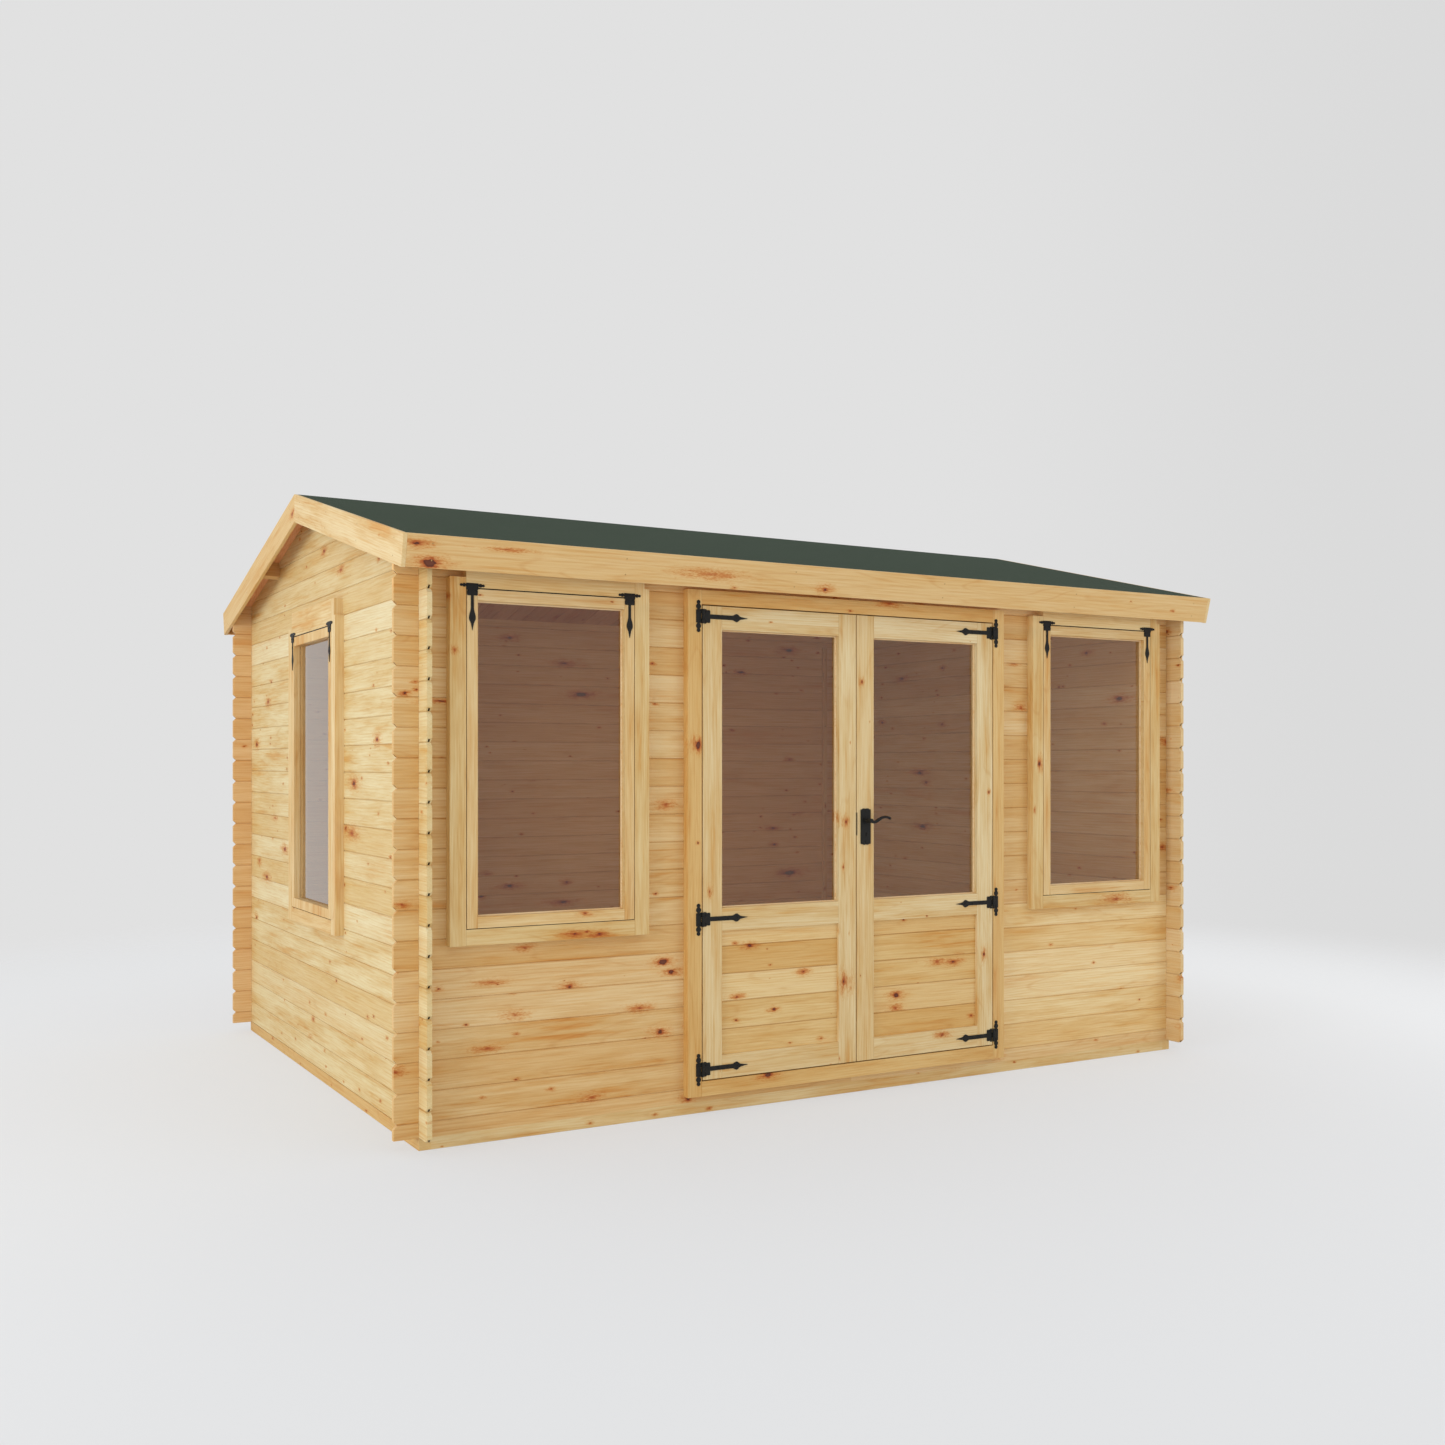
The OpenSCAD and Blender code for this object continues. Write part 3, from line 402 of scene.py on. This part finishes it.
def glass():
    """Clear pane: it lets light through, and its outer face mirrors more at a slant."""
    mat, n = material("glass")
    haze = n.noise(n.add("TexCoord", out="Object"), 2.0, 2.0)
    fresnel = n.add("Fresnel", {"IOR": 1.5})
    front = n.minus(1.0, n.add("NewGeometry", out="Backfacing"))
    amount = n.math("MULTIPLY", n.by(fresnel, 1.7), front, clamp=True)
    tone = n.mix(haze, (0.95, 0.93, 0.90, 1), (0.97, 0.95, 0.92, 1))
    clear = n.add("BsdfTransparent", {"Color": tone})
    gloss = n.add("BsdfGlossy", {"Color": (1.0, 0.96, 0.90, 1), "Roughness": 0.03})
    n.surface(n.add("MixShader", {0: amount, 1: clear, 2: gloss}))
    return mat


def plain(name, color, other, scale, roughness, metallic=0.0, specular=0.5):
    """Small part of one stuff with a fine uneven skin."""
    mat, n = material(name)
    grit = n.noise(n.add("TexCoord", out="Object"), scale, 3.0, 0.6)
    shade = n.mix(n.smooth(grit, 0.3, 0.7), lin(*color), lin(*other))
    n.skin(shade, roughness, n.bump(grit, 0.3, 0.0004), metallic, specular)
    return mat


# Single knots and stains: along, up, radius along, radius up, core
FRONT_KNOTS = (
    (-0.905, 0.616, 0.017, 0.010, 1.0), (-0.869, 0.574, 0.013, 0.008, 0.9),
    (-0.918, 0.341, 0.015, 0.010, 0.9), (-0.792, 0.062, 0.012, 0.008, 0.8),
    (-1.489, 0.708, 0.012, 0.007, 0.2), (-1.620, 0.589, 0.020, 0.006, 0.1),
    (-1.529, 0.460, 0.016, 0.009, 0.2), (-1.640, 0.346, 0.020, 0.006, 0.1),
    (-1.007, 0.443, 0.018, 0.008, 0.1), (-1.213, 0.114, 0.016, 0.009, 0.2),
    (-1.951, 1.654, 0.008, 0.006, 0.6), (-1.817, 1.628, 0.030, 0.005, 0.3),
    (0.948, 1.658, 0.012, 0.009, 0.3), (1.880, 1.509, 0.016, 0.012, 0.2),
    (1.853, 0.994, 0.020, 0.012, 0.2))
SIDE_KNOTS = (
    (-0.878, 1.497, 0.018, 0.014, 0.4), (0.995, 1.714, 0.018, 0.013, 0.3),
    (1.246, 1.502, 0.022, 0.013, 0.5), (-0.083, 2.336, 0.016, 0.010, 0.4),
    (-0.358, 2.220, 0.018, 0.009, 0.3), (-0.555, 1.321, 0.026, 0.014, 0.6),
    (-0.525, 1.115, 0.030, 0.016, 0.2), (0.636, 0.991, 0.024, 0.013, 0.5),
    (1.018, 0.831, 0.026, 0.012, 0.5), (0.844, 1.134, 0.020, 0.008, 0.2))
FASCIA_KNOTS = (
    (-1.960, 2.171, 0.020, 0.008, 0.6), (-1.906, 2.108, 0.024, 0.013, 1.0),
    (-1.633, 2.174, 0.030, 0.004, 0.2), (-0.767, 2.141, 0.045, 0.010, 0.0))
DOOR_FRAME_KNOTS = (
    (-0.768, 1.475, 0.011, 0.016, 0.9), (-0.768, 1.085, 0.003, 0.004, 1.0),
    (-0.441, 0.127, 0.016, 0.009, 0.8), (0.176, 2.090, 0.022, 0.008, 0.2))
WINDOW_FRAME_KNOTS = (
    (-1.201, 0.748, 0.015, 0.008, 0.4), (-1.302, 0.754, 0.016, 0.007, 0.3),
    (-1.252, 0.759, 0.010, 0.005, 0.3),
    (-1.777, 1.813, 0.005, 0.008, 0.3), (1.506, 0.758, 0.030, 0.012, 0.2))
SASH_KNOTS = ((-1.260, 0.831, 0.010, 0.006, 0.4),)
LEAF_KNOTS = (
    (-0.053, 1.155, 0.006, 0.011, 0.5), (-0.099, 1.177, 0.005, 0.014, 0.3),
    (-0.064, 0.480, 0.012, 0.022, 0.3), (0.376, 0.736, 0.0035, 0.003, 1.0),
    (0.459, 0.208, 0.014, 0.008, 0.4), (0.726, 1.275, 0.003, 0.006, 0.9),
    (0.029, 1.749, 0.004, 0.009, 0.6))
PANEL_KNOTS = (
    (-0.522, 0.660, 0.012, 0.007, 0.7), (-0.260, 0.536, 0.012, 0.008, 0.2),
    (0.219, 0.398, 0.015, 0.010, 0.9), (0.530, 0.523, 0.018, 0.009, 0.3),
    (0.440, 0.531, 0.016, 0.008, 0.2))
BACK_KNOTS = (
    (-0.455, 2.129, 0.024, 0.010, 0.6), (-0.113, 1.995, 0.032, 0.012, 0.5),
    (-0.004, 1.813, 0.034, 0.012, 1.0), (-0.455, 0.700, 0.030, 0.010, 0.8),
    (-0.115, 0.592, 0.038, 0.010, 0.5), (1.453, 2.132, 0.032, 0.014, 0.7),
    (1.095, 1.981, 0.022, 0.008, 0.8), (1.452, 0.706, 0.036, 0.016, 0.9),
    (1.331, 0.996, 0.020, 0.008, 0.5))
RIGHT_KNOTS = (
    (0.749, 1.930, 0.026, 0.010, 0.6), (0.568, 1.352, 0.030, 0.012, 0.7),
    (0.539, 1.024, 0.030, 0.012, 0.8), (-1.082, 1.734, 0.024, 0.011, 0.9))
FRONT_TIPS = (HALF_W, HALF_D - LOG_T / 2)
SIDE_TIPS = (HALF_D, HALF_W - LOG_T / 2)
MATS = {
    "front": wood("front_logs", (222, 188, 132), "X", COVER, FRONT_SEAM, FRONT_KNOTS, 3.0,
                  vary=0.62, knotty=0.75, halves=60.0, joint_line=0.22, painted_light_over=EAVES_Z,
                  tips=FRONT_TIPS),
    # Paler copy of the front logs for the lower right of the front wall: painted light, where that
    # part is lit more brightly
    "front_painted_lit": wood("front_logs_painted_lit", (234, 206, 151), "X", COVER, FRONT_SEAM, FRONT_KNOTS,
                       4.0, vary=0.62, knotty=0.6, joint_line=0.26, tips=FRONT_TIPS),
    "back": wood("back_logs", (226, 189, 138), "X", COVER, FRONT_SEAM, BACK_KNOTS, 5.0, vary=0.4,
                 knotty=1.3, figure=0.12, joint_line=0.32, lively=0.6, tips=FRONT_TIPS),
    # The side logs are paler and less saturated than the front logs: partly paler wood, partly a
    # painted sheen of this wall, seen at a slant
    "side": wood("side_logs", (223, 204, 156), "Y", COVER, SIDE_SEAM, SIDE_KNOTS, 11.0, vary=0.8,
                 figure=0.16, joint_line=0.28, tips=SIDE_TIPS),
    "right": wood("right_logs", (225, 199, 152), "Y", COVER, SIDE_SEAM, RIGHT_KNOTS, 13.0,
                  vary=0.6, figure=0.12, joint_line=0.3, lively=0.7, tips=SIDE_TIPS),
    "cross": wood("bearer_x", (222, 196, 144), seed=21.0),
    "bearer": wood("bearer_y", (222, 196, 144), "Y", seed=25.0),
    "floor": wood("floor", (216, 180, 124), "flat X", FLOOR_BOARD, -FLOOR_Y, seed=31.0),
    "deck": wood("deck_front", (228, 163, 108), "flat Y", ROOF_BOARD, -ROOF_X, seed=41.0,
                 inside=(0.80, 0.88, 0.93)),
    "purlin": wood("purlin", (214, 176, 120), seed=45.0),
    "fascia": wood("fascia", (231, 207, 162), knots=FASCIA_KNOTS, seed=51.0, knotty=0.5),
    "barge_front": wood("barge_front", (226, 200, 150), "Y", seed=55.0, tilt=-PITCH, knotty=0.4),
    "barge_back": wood("barge_back", (226, 200, 150), "Y", seed=58.0, tilt=PITCH, knotty=0.4),
    "door_frame": wood("door_frame", (219, 182, 118), knots=DOOR_FRAME_KNOTS, seed=61.0,
                       split=(0.0, DOOR_HALF), knotty=0.4, vary=0.45, painted_light_over=EAVES_Z),
    "window_frame": wood("window_frame", (221, 193, 137), knots=WINDOW_FRAME_KNOTS, seed=64.0,
                         split=(WINDOW_X, WINDOW_W / 2), knotty=0.4, vary=0.15,
                         painted_light_over=EAVES_Z),
    "side_frame": wood("side_frame", (226, 200, 148), "Y", seed=67.0, split=(0.0, WINDOW_W / 2),
                       knotty=0.4, vary=0.4),
    "sash": wood("sash", (224, 194, 140), knots=SASH_KNOTS, seed=71.0,
                 split=(WINDOW_X, SASH_TURN), knotty=0.4, vary=0.3),
    "leaf": wood("leaf", (225, 202, 154), knots=LEAF_KNOTS, seed=74.0,
                 split=(LEAF_X, LEAF_W / 2 - STILE_W), knotty=0.4, vary=0.35),
    "panel": wood("panel", (224, 192, 132), "X", PANEL_COVER, PANEL_SEAM, PANEL_KNOTS, 81.0,
                  halves=60.0),
    "felt": felt(),
    "iron": iron(),
    "glass": glass(),
    "bead": wood("bead", (228, 198, 150), seed=91.0, knotty=0.1),
    "batten": wood("batten", (224, 190, 136), "Z", seed=95.0, knotty=0.4),
    # Near-black stuff of the strips that paint the shade in the sash gaps
    "shade_black": plain("shade_black", (20, 18, 16), (34, 31, 28), 300.0, 0.8, specular=0.3),
    "steel": plain("steel", (176, 138, 84), (196, 160, 104), 500.0, 0.5, 0.6),
}
NODE_MATS = {
    "front": ("front_sill_log", "front_wall_left_lower", "front_wall_left_corner",
              "front_wall_left_pier", "front_wall_right_corner", "front_wall_right_pier",
              "front_wall_head"),
    "front_painted_lit": ("front_wall_right_lower",),
    "back": ("back_wall",),
    "side": ("left_wall_lower", "left_wall_front", "left_wall_back", "left_gable"),
    "right": ("right_wall", "right_gable"),
    "cross": ("cross_bearers",),
    "bearer": ("side_bearers", "floor_joists"),
    "floor": ("floor_boards",),
    "deck": ("roof_boards_front", "roof_boards_back"),
    "purlin": ("purlins",),
    "felt": ("roof_felt",),
    "barge_front": ("left_bargeboard_front", "right_bargeboard_front"),
    "barge_back": ("left_bargeboard_back", "right_bargeboard_back"),
    "fascia": ("front_fascia", "back_fascia"),
    "door_frame": ("door_frame",),
    "window_frame": ("front_window_frames",),
    "side_frame": ("side_window_frame",),
    "sash": ("window_sashes",),
    "leaf": ("left_leaf", "right_leaf"),
    "panel": ("left_leaf_panel", "right_leaf_panel"),
    "glass": ("window_glass", "left_leaf_glass", "right_leaf_glass"),
    "iron": ("door_hinge_plates", "window_hinges", "left_leaf_hinges", "right_leaf_hinges",
             "door_handle"),
}


def paint_nodes():
    for key, names in NODE_MATS.items():
        for name in names:
            node = frame["nodes"][name]
            node.data.materials.clear()
            node.data.materials.append(MATS[key])


def piece(name, body, key, bm):
    """Object of a finished bmesh, riding on a body."""
    mesh = bpy.data.meshes.new(name)
    bm.to_mesh(mesh)
    bm.free()
    mesh.materials.append(MATS[key])
    obj = bpy.data.objects.new(name, mesh)
    bpy.context.scene.collection.objects.link(obj)
    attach(obj, body)
    return obj


def mesh_of(name, body, key, fill, smooth=False):
    """Piece whose mesh fill() draws."""
    bm = bmesh.new()
    fill(bm)
    bmesh.ops.recalc_face_normals(bm, faces=bm.faces)
    for face in bm.faces:
        face.smooth = smooth
    return piece(name, body, key, bm)


def prism(bm, points, start, end, place):
    """Prism of a 2D outline; place(a, b, t) gives the 3D point at t along it."""
    rings = [[bm.verts.new(place(a, b, t)) for a, b in points] for t in (start, end)]
    count = len(points)
    for k in range(count):
        j = (k + 1) % count
        bm.faces.new((rings[0][k], rings[0][j], rings[1][j], rings[1][k]))
    bm.faces.new(list(reversed(rings[0])))
    bm.faces.new(rings[1])


def board_outline(x0, x1, low, high, ease):
    """Section of a board with eased edges on its low side."""
    return [(x0, high), (x0, low + ease), (x0 + ease, low), (x1 - ease, low), (x1, low + ease),
            (x1, high)]


def roof_point(side, down, rise):
    """Y and Z at a distance down a slope and rise over its felt; side is -1 in front, 1 behind."""
    return side * (down * COS + rise * SIN), RIDGE - down * SIN + rise * COS


def roof_boards():
    """Tongued boards up and down each slope, with V joints on their undersides."""
    for side, name in ((-1, "front"), (1, "back")):
        def point(x, rise, t):
            return (x,) + roof_point(side, (SLOPE - EDGE_T) if t else -rise * TAN, rise)

        def fill(bm):
            for i in range(ROOF_COUNT):
                x0 = -ROOF_X + i * ROOF_BOARD
                outline = board_outline(x0, x0 + ROOF_BOARD, -ROOF_T, -FELT_T, 0.0022)
                prism(bm, outline, 0, 1, point)

        boards = mesh_of("roof_boarding_" + name, "cabin", "deck", fill)
        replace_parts(boards, "roof_boards_" + name)


def floor_boards():
    """Boards of the floor with V joints on top."""
    def fill(bm):
        for i in range(FLOOR_COUNT):
            y0 = -FLOOR_Y + i * FLOOR_BOARD
            outline = board_outline(y0, y0 + FLOOR_BOARD, -FLOOR_Z, -FLOOR_Z + FLOOR_T, 0.0015)
            prism(bm, outline, -FLOOR_X, FLOOR_X, lambda a, b, t: (t, a, -b))

    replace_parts(mesh_of("floor_boarding", "cabin", "floor", fill), "floor_boards")


def screw(bm, place, radius, axis=OUT_FRONT, rise=0.0018, sides=14):
    """Domed head with a recess for the driver, its back on place and its face along axis."""
    axis = Vector(axis)
    across = axis.orthogonal().normalized()
    other = axis.cross(across)
    rings = []
    for r, h in ((1.0, 0.0), (1.0, 0.30), (0.82, 0.75), (0.50, 1.0), (0.34, 0.98), (0.24, 0.45)):
        ring = []
        for k in range(sides):
            turn = 2 * math.pi * k / sides
            flat = across * math.cos(turn) + other * math.sin(turn)
            ring.append(bm.verts.new(Vector(place) + flat * radius * r + axis * rise * h))
        rings.append(ring)
    for a, b in zip(rings, rings[1:]):
        for k in range(sides):
            j = (k + 1) % sides
            bm.faces.new((a[k], a[j], b[j], b[k]))
    bm.faces.new(list(reversed(rings[0])))
    bm.faces.new(rings[-1])


def storm_battens():
    """Upright battens screwed to the inside of the back wall."""
    places, wide, thick, ease = (-1.72, 1.72), 0.030, 0.018, 0.002
    inner = HALF_D - LOG_T - 0.0002
    outline = [(0, 0), (wide, 0), (wide, thick - ease), (wide - ease, thick), (ease, thick),
               (0, thick - ease)]

    def fill(bm):
        for x in places:
            prism(bm, outline, FLOOR_Z + 0.004, 2.155,
                  lambda a, b, t: (x - wide / 2 + a, inner - b, t))

    mesh_of("storm_battens", "cabin", "batten", fill)

    def heads(bm):
        for x in places:
            for z in (0.16, 0.60, 1.15, 1.65, 2.08):
                screw(bm, (x, inner - thick, z), 0.0042)

    mesh_of("batten_screws", "cabin", "steel", heads, True)


def square_ring(bm, w, h, outline, place):
    """Frame of one section, mitred round an opening w by h whose foot is at 0.

    outline gives (inwards from the opening's edge, depth) and place(x, depth, z) the 3D point.
    """
    rings = []
    for sx, sz in ((-1, 0), (1, 0), (1, 1), (-1, 1)):
        ring = []
        for inwards, depth in outline:
            z = h - inwards if sz else inwards
            ring.append(bm.verts.new(place(sx * (w / 2 - inwards), depth, z)))
        rings.append(ring)
    count = len(outline)
    for i in range(4):
        a, b = rings[i], rings[(i + 1) % 4]
        for k in range(count):
            j = (k + 1) % count
            bm.faces.new((a[k], a[j], b[j], b[k]))


def wall_point(wall, middle, foot):
    """Point of a wall: x to the right seen from outside, depth behind the frames' face."""
    if wall == "front":
        return lambda x, depth, z: (middle + x, FACE_Y + depth, foot + z)
    return lambda x, depth, z: (-HALF_W - FRAME_OUT + depth, middle - x, foot + z)


# Panes of the leaves: body and middle. Windows: wall, middle and foot of the clear opening.
LEAF_PANES = (("left_door", -LEAF_X), ("right_door", LEAF_X))
WINDOWS = (("front", -WINDOW_X, FRONT_FOOT), ("front", WINDOW_X, FRONT_FOOT),
           ("left", 0.0, SIDE_FOOT))
SASH_IN = SASH_GAP + SASH_BAR
PANE_W, PANE_H = WINDOW_W - 2 * SASH_IN, WINDOW_H - 2 * SASH_IN


def beads():
    """Glazing beads against the outer face of each pane in the front."""
    outline = [(0, 0.0258), (0, 0.0190), (0.002, 0.0184), (0.0042, 0.0198), (0.0055, 0.0222),
               (0.0055, 0.0258)]
    panes = [(body, middle, LEAF_PANE_FOOT, LEAF_W - 2 * STILE_W, LEAF_PANE_H)
             for body, middle in LEAF_PANES]
    panes += [("cabin", middle, foot + SASH_IN, PANE_W, PANE_H)
              for wall, middle, foot in WINDOWS if wall == "front"]
    for i, (body, middle, foot, w, h) in enumerate(panes):
        def fill(bm):
            square_ring(bm, w, h, outline, wall_point("front", middle, foot))

        mesh_of("glazing_bead_%d" % i, body, "bead", fill)


def gap_shade_strips():
    """Dark strips in the gaps round the window sashes: painted shade in the gaps."""
    half = SASH_GAP / 2 - 0.0002
    edge = SASH_BAR + SASH_GAP / 2
    outline = [(-edge - half, 0.011), (-edge - half, 0.0065), (-edge, 0.0055),
               (-edge + half, 0.0065), (-edge + half, 0.011)]
    for i, (wall, middle, foot) in enumerate(WINDOWS):
        def fill(bm):
            square_ring(bm, PANE_W, PANE_H, outline, wall_point(wall, middle, foot + SASH_IN))

        mesh_of("sash_gap_shadow_%d" % i, "cabin", "shade_black", fill)


def head_shadow_strips():
    """Dark strips over the gaps at the heads of the sashes, between their hinges: a painted shadow
    along each head gap.
    """
    outline = [(-0.0023, 0.0004), (-0.0020, -0.0008), (-0.0008, -0.0014), (0.0008, -0.0014),
               (0.0020, -0.0008), (0.0023, 0.0004)]
    run = WINDOW_W / 2 - SASH_GAP - WINDOW_HINGE_IN - 0.018
    head = WINDOW_H - SASH_GAP / 2
    for i, (wall, middle, foot) in enumerate(WINDOWS):
        point = wall_point(wall, middle, foot)

        def fill(bm):
            prism(bm, outline, -run, run, lambda a, b, t: point(t, b, head + a))

        mesh_of("sash_head_gap_shadow_%d" % i, "cabin", "shade_black", fill)


def iron_screws():
    """Black round heads on the hinges and on the handle, and the strip on the lock's edge."""
    plate = [(-0.018, up) for up in (-0.020, 0.020)]
    strap = [(0.0155, -0.018), (0.0155, 0.018), (0.074, 0.0), (0.118, 0.0), (0.160, 0.0)]
    for side, body in ((-1, "left_door"), (1, "right_door")):
        for name, carrier, spots, radius in (("_plate_screws", "cabin", plate, 0.0042),
                                             ("_strap_screws", body, strap, 0.0040)):
            def fill(bm):
                for z in HINGE_Z:
                    for run, up in spots:
                        screw(bm, (side * (PIN_X - run), IRON_Y, z + up), radius)

            mesh_of(body + name, carrier, "iron", fill, True)

    def handle(bm):
        for up in (-0.064, 0.066):
            screw(bm, (HANDLE_X, FACE_Y - HANDLE_T, HANDLE_Z + up), 0.0045)

    mesh_of("handle_screws", "right_door", "iron", handle, True)

    def edge(bm):
        outline = [(0.0026, 0.0), (0.0026, 0.0005), (0.0050, 0.0005), (0.0053, 0.0002),
                   (0.0053, 0.0)]
        prism(bm, outline, LOCK_FOOT, LOCK_HEAD, lambda a, b, t: (a, FACE_Y - b, t))

    mesh_of("lock_edge", "right_door", "iron", edge)

    def windows(bm):
        for wall, middle, foot in WINDOWS:
            point = wall_point(wall, middle, foot + WINDOW_H + WINDOW_HINGE_UP)
            axis = OUT_FRONT if wall == "front" else OUT_LEFT
            for side in (-1, 1):
                x = side * (WINDOW_W / 2 - SASH_GAP - WINDOW_HINGE_IN)
                for run, drop in ((-0.014, 0.020), (0.014, 0.020), (0.0, 0.060), (0.0, 0.119)):
                    screw(bm, point(x + run, -0.003, -drop), 0.0034, axis)

    mesh_of("window_hinge_screws", "cabin", "iron", windows, True)


def edge_screws():
    """Small brass screw heads that hold the barge and fascia boards."""
    head = {"radius": 0.0028, "rise": 0.0005, "sides": 10}

    def fill(bm):
        for side in (-1, 1):
            for end in (-1, 1):
                for down in (0.10, 0.55, 1.02, 1.50):
                    for rise in (-0.028, -0.092):
                        place = (end * (ROOF_X + EDGE_T),) + roof_point(side, down, rise)
                        screw(bm, place, axis=(end, 0, 0), **head)
            for i in range(6):
                for rise in (-0.030, -0.090):
                    place = (-1.90 + i * 0.76,) + roof_point(side, SLOPE, rise)
                    screw(bm, place, axis=(0, side * COS, -SIN), **head)

    mesh_of("edge_board_screws", "cabin", "steel", fill, True)


def soften(name, body, key, width):
    """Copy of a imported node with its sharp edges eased, in the node's place."""
    node = frame["nodes"][name]
    bm = bmesh.new()
    bm.from_mesh(node.data)
    bm.transform(node.matrix_world)
    bmesh.ops.remove_doubles(bm, verts=bm.verts, dist=0.00002)
    bmesh.ops.dissolve_limit(bm, angle_limit=math.radians(1.5), verts=bm.verts, edges=bm.edges)
    sharp = [e for e in bm.edges
             if len(e.link_faces) == 2 and e.calc_face_angle(0.0) > math.radians(35)]
    bmesh.ops.bevel(bm, geom=sharp, offset=width, offset_type="OFFSET", segments=2, profile=0.6,
                    affect="EDGES", clamp_overlap=True)
    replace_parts(piece(name + "_eased", body, key, bm), name)


IRON_EASE, HANDLE_EASE, BOARD_EASE = 0.0008, 0.0010, 0.0015
EASED = (
    ("door_hinge_plates", "cabin", "iron", IRON_EASE),
    ("window_hinges", "cabin", "iron", IRON_EASE),
    ("left_leaf_hinges", "left_door", "iron", IRON_EASE),
    ("right_leaf_hinges", "right_door", "iron", IRON_EASE),
    ("door_handle", "right_door", "iron", HANDLE_EASE),
    ("front_fascia", "cabin", "fascia", BOARD_EASE),
    ("back_fascia", "cabin", "fascia", BOARD_EASE),
    ("left_bargeboard_front", "cabin", "barge_front", BOARD_EASE),
    ("right_bargeboard_front", "cabin", "barge_front", BOARD_EASE),
    ("left_bargeboard_back", "cabin", "barge_back", BOARD_EASE),
    ("right_bargeboard_back", "cabin", "barge_back", BOARD_EASE),
)


def camera():
    """The photo's camera, from the fit to its measured points."""
    data = bpy.data.cameras.new("camera")
    data.lens = 36.21
    data.sensor_width = 36.0
    data.shift_y = 0.03
    data.clip_end = 200.0
    cam = bpy.data.objects.new("camera", data)
    cam.location = (-3.570, -6.491, 1.392)
    cam.rotation_euler = (math.radians(90), 0.0, math.radians(-29.94))
    bpy.context.scene.collection.objects.link(cam)
    bpy.context.scene.camera = cam


def lamp(name, place, target, size, power, color=(1, 1, 1)):
    """Soft light that no mirror or camera shows."""
    data = bpy.data.lights.new(name, "AREA")
    data.shape = "RECTANGLE"
    data.size, data.size_y = size
    data.energy = power
    data.color = color
    obj = bpy.data.objects.new(name, data)
    obj.location = place
    obj.rotation_euler = (Vector(target) - Vector(place)).to_track_quat("-Z", "Y").to_euler()
    obj.visible_glossy = False
    obj.visible_camera = False
    bpy.context.scene.collection.objects.link(obj)


# Level directions to the right of the photo and away from its camera
TO_RIGHT, TO_BACK = (0.867, -0.499, 0.0), (0.499, 0.867, 0.0)


def stage():
    """Pale floor that fades into the backdrop, with the photo's soft light at its far edge."""
    mesh = bpy.data.meshes.new("floor")
    half, z = 40.0, -0.001
    mesh.from_pydata([(-half, -half, z), (half, -half, z), (half, half, z), (-half, half, z)],
                     [], [(0, 1, 2, 3)])
    obj = bpy.data.objects.new("floor", mesh)
    bpy.context.scene.collection.objects.link(obj)
    mat, n = material("floor_paint")
    coord = n.add("TexCoord", out="Object")
    away, right, behind = n.length(coord), n.dot(coord, TO_RIGHT), n.dot(coord, TO_BACK)
    # Painted light on the floor: a brighter ring round the cabin, strongest to the right, a
    # brighter part to the left, and a glow that grows towards the right
    rim = n.by(n.smooth(away, 2.3, 4.2), n.smooth(right, 0.0, 5.0, 0.08, 1.0))
    rim = n.by(rim, n.smooth(behind, -2.5, 0.5))
    rim = n.plus(rim, n.smooth(right, -2.5, -0.8, 0.48, 0.0))
    glow = n.mix(n.smooth(right, -0.5, 5.0), (0.468, 0.47, 0.474, 1), (0.515, 0.519, 0.526, 1))
    glow = n.mix(n.by(rim, 0.055), glow, WHITE, "ADD")
    lit = n.add("BsdfDiffuse", {"Color": (0.78, 0.78, 0.78, 1)})
    shaded = n.add("BsdfDiffuse", {"Color": (0.332, 0.341, 0.351, 1)})
    seen = n.add("AddShader", {0: shaded, 1: n.add("Emission", {"Color": glow})})
    path = n.add("LightPath").node.outputs
    near = n.add("MixShader", {0: path["Is Camera Ray"], 1: lit, 2: seen})
    far = n.smooth(away, 4.0, 7.4)
    n.surface(n.add("MixShader", {0: far, 1: near, 2: n.add("BsdfTransparent")}))
    mesh.materials.append(mat)


def world():
    """Even light, and the photo's grey backdrop for what is seen."""
    w = bpy.data.worlds.new("world")
    w.use_nodes = True
    bpy.context.scene.world = w
    n = Nodes(w.node_tree)
    path = n.add("LightPath").node.outputs
    seen = n.math("MAXIMUM", path["Is Camera Ray"], path["Is Glossy Ray"])
    seen = n.math("MAXIMUM", seen, path["Is Transmission Ray"])
    way = n.dot(n.add("TexCoord", out="Generated"), TO_RIGHT)
    backdrop = n.mix(n.smooth(way, 0.12, 0.42), lin(225, 225, 225), lin(219, 219, 219))
    color = n.mix(seen, (0.80, 0.80, 0.80, 1), backdrop)
    n.add("OutputWorld", {"Surface": n.add("Background", {"Color": color, "Strength": 1.0})})


paint_nodes()
roof_boards()
floor_boards()
storm_battens()
beads()
gap_shade_strips()
head_shadow_strips()
iron_screws()
edge_screws()
for item in EASED:
    soften(*item)
camera()
stage()
world()
lamp("key", (-11.0, -3.8, 2.7), (-1.0, 0.0, 1.1), (6.0, 4.4), 375.0)
lamp("fill", (7.0, -9.0, 1.7), (0.5, -1.0, 1.0), (6.0, 3.0), 115.0)
lamp("inside", (0.38, -1.30, 1.15), (0.38, 1.30, 1.15), (3.2, 1.9), 5.3, (1.0, 0.73, 0.54))
bpy.context.scene.view_settings.view_transform = "Standard"
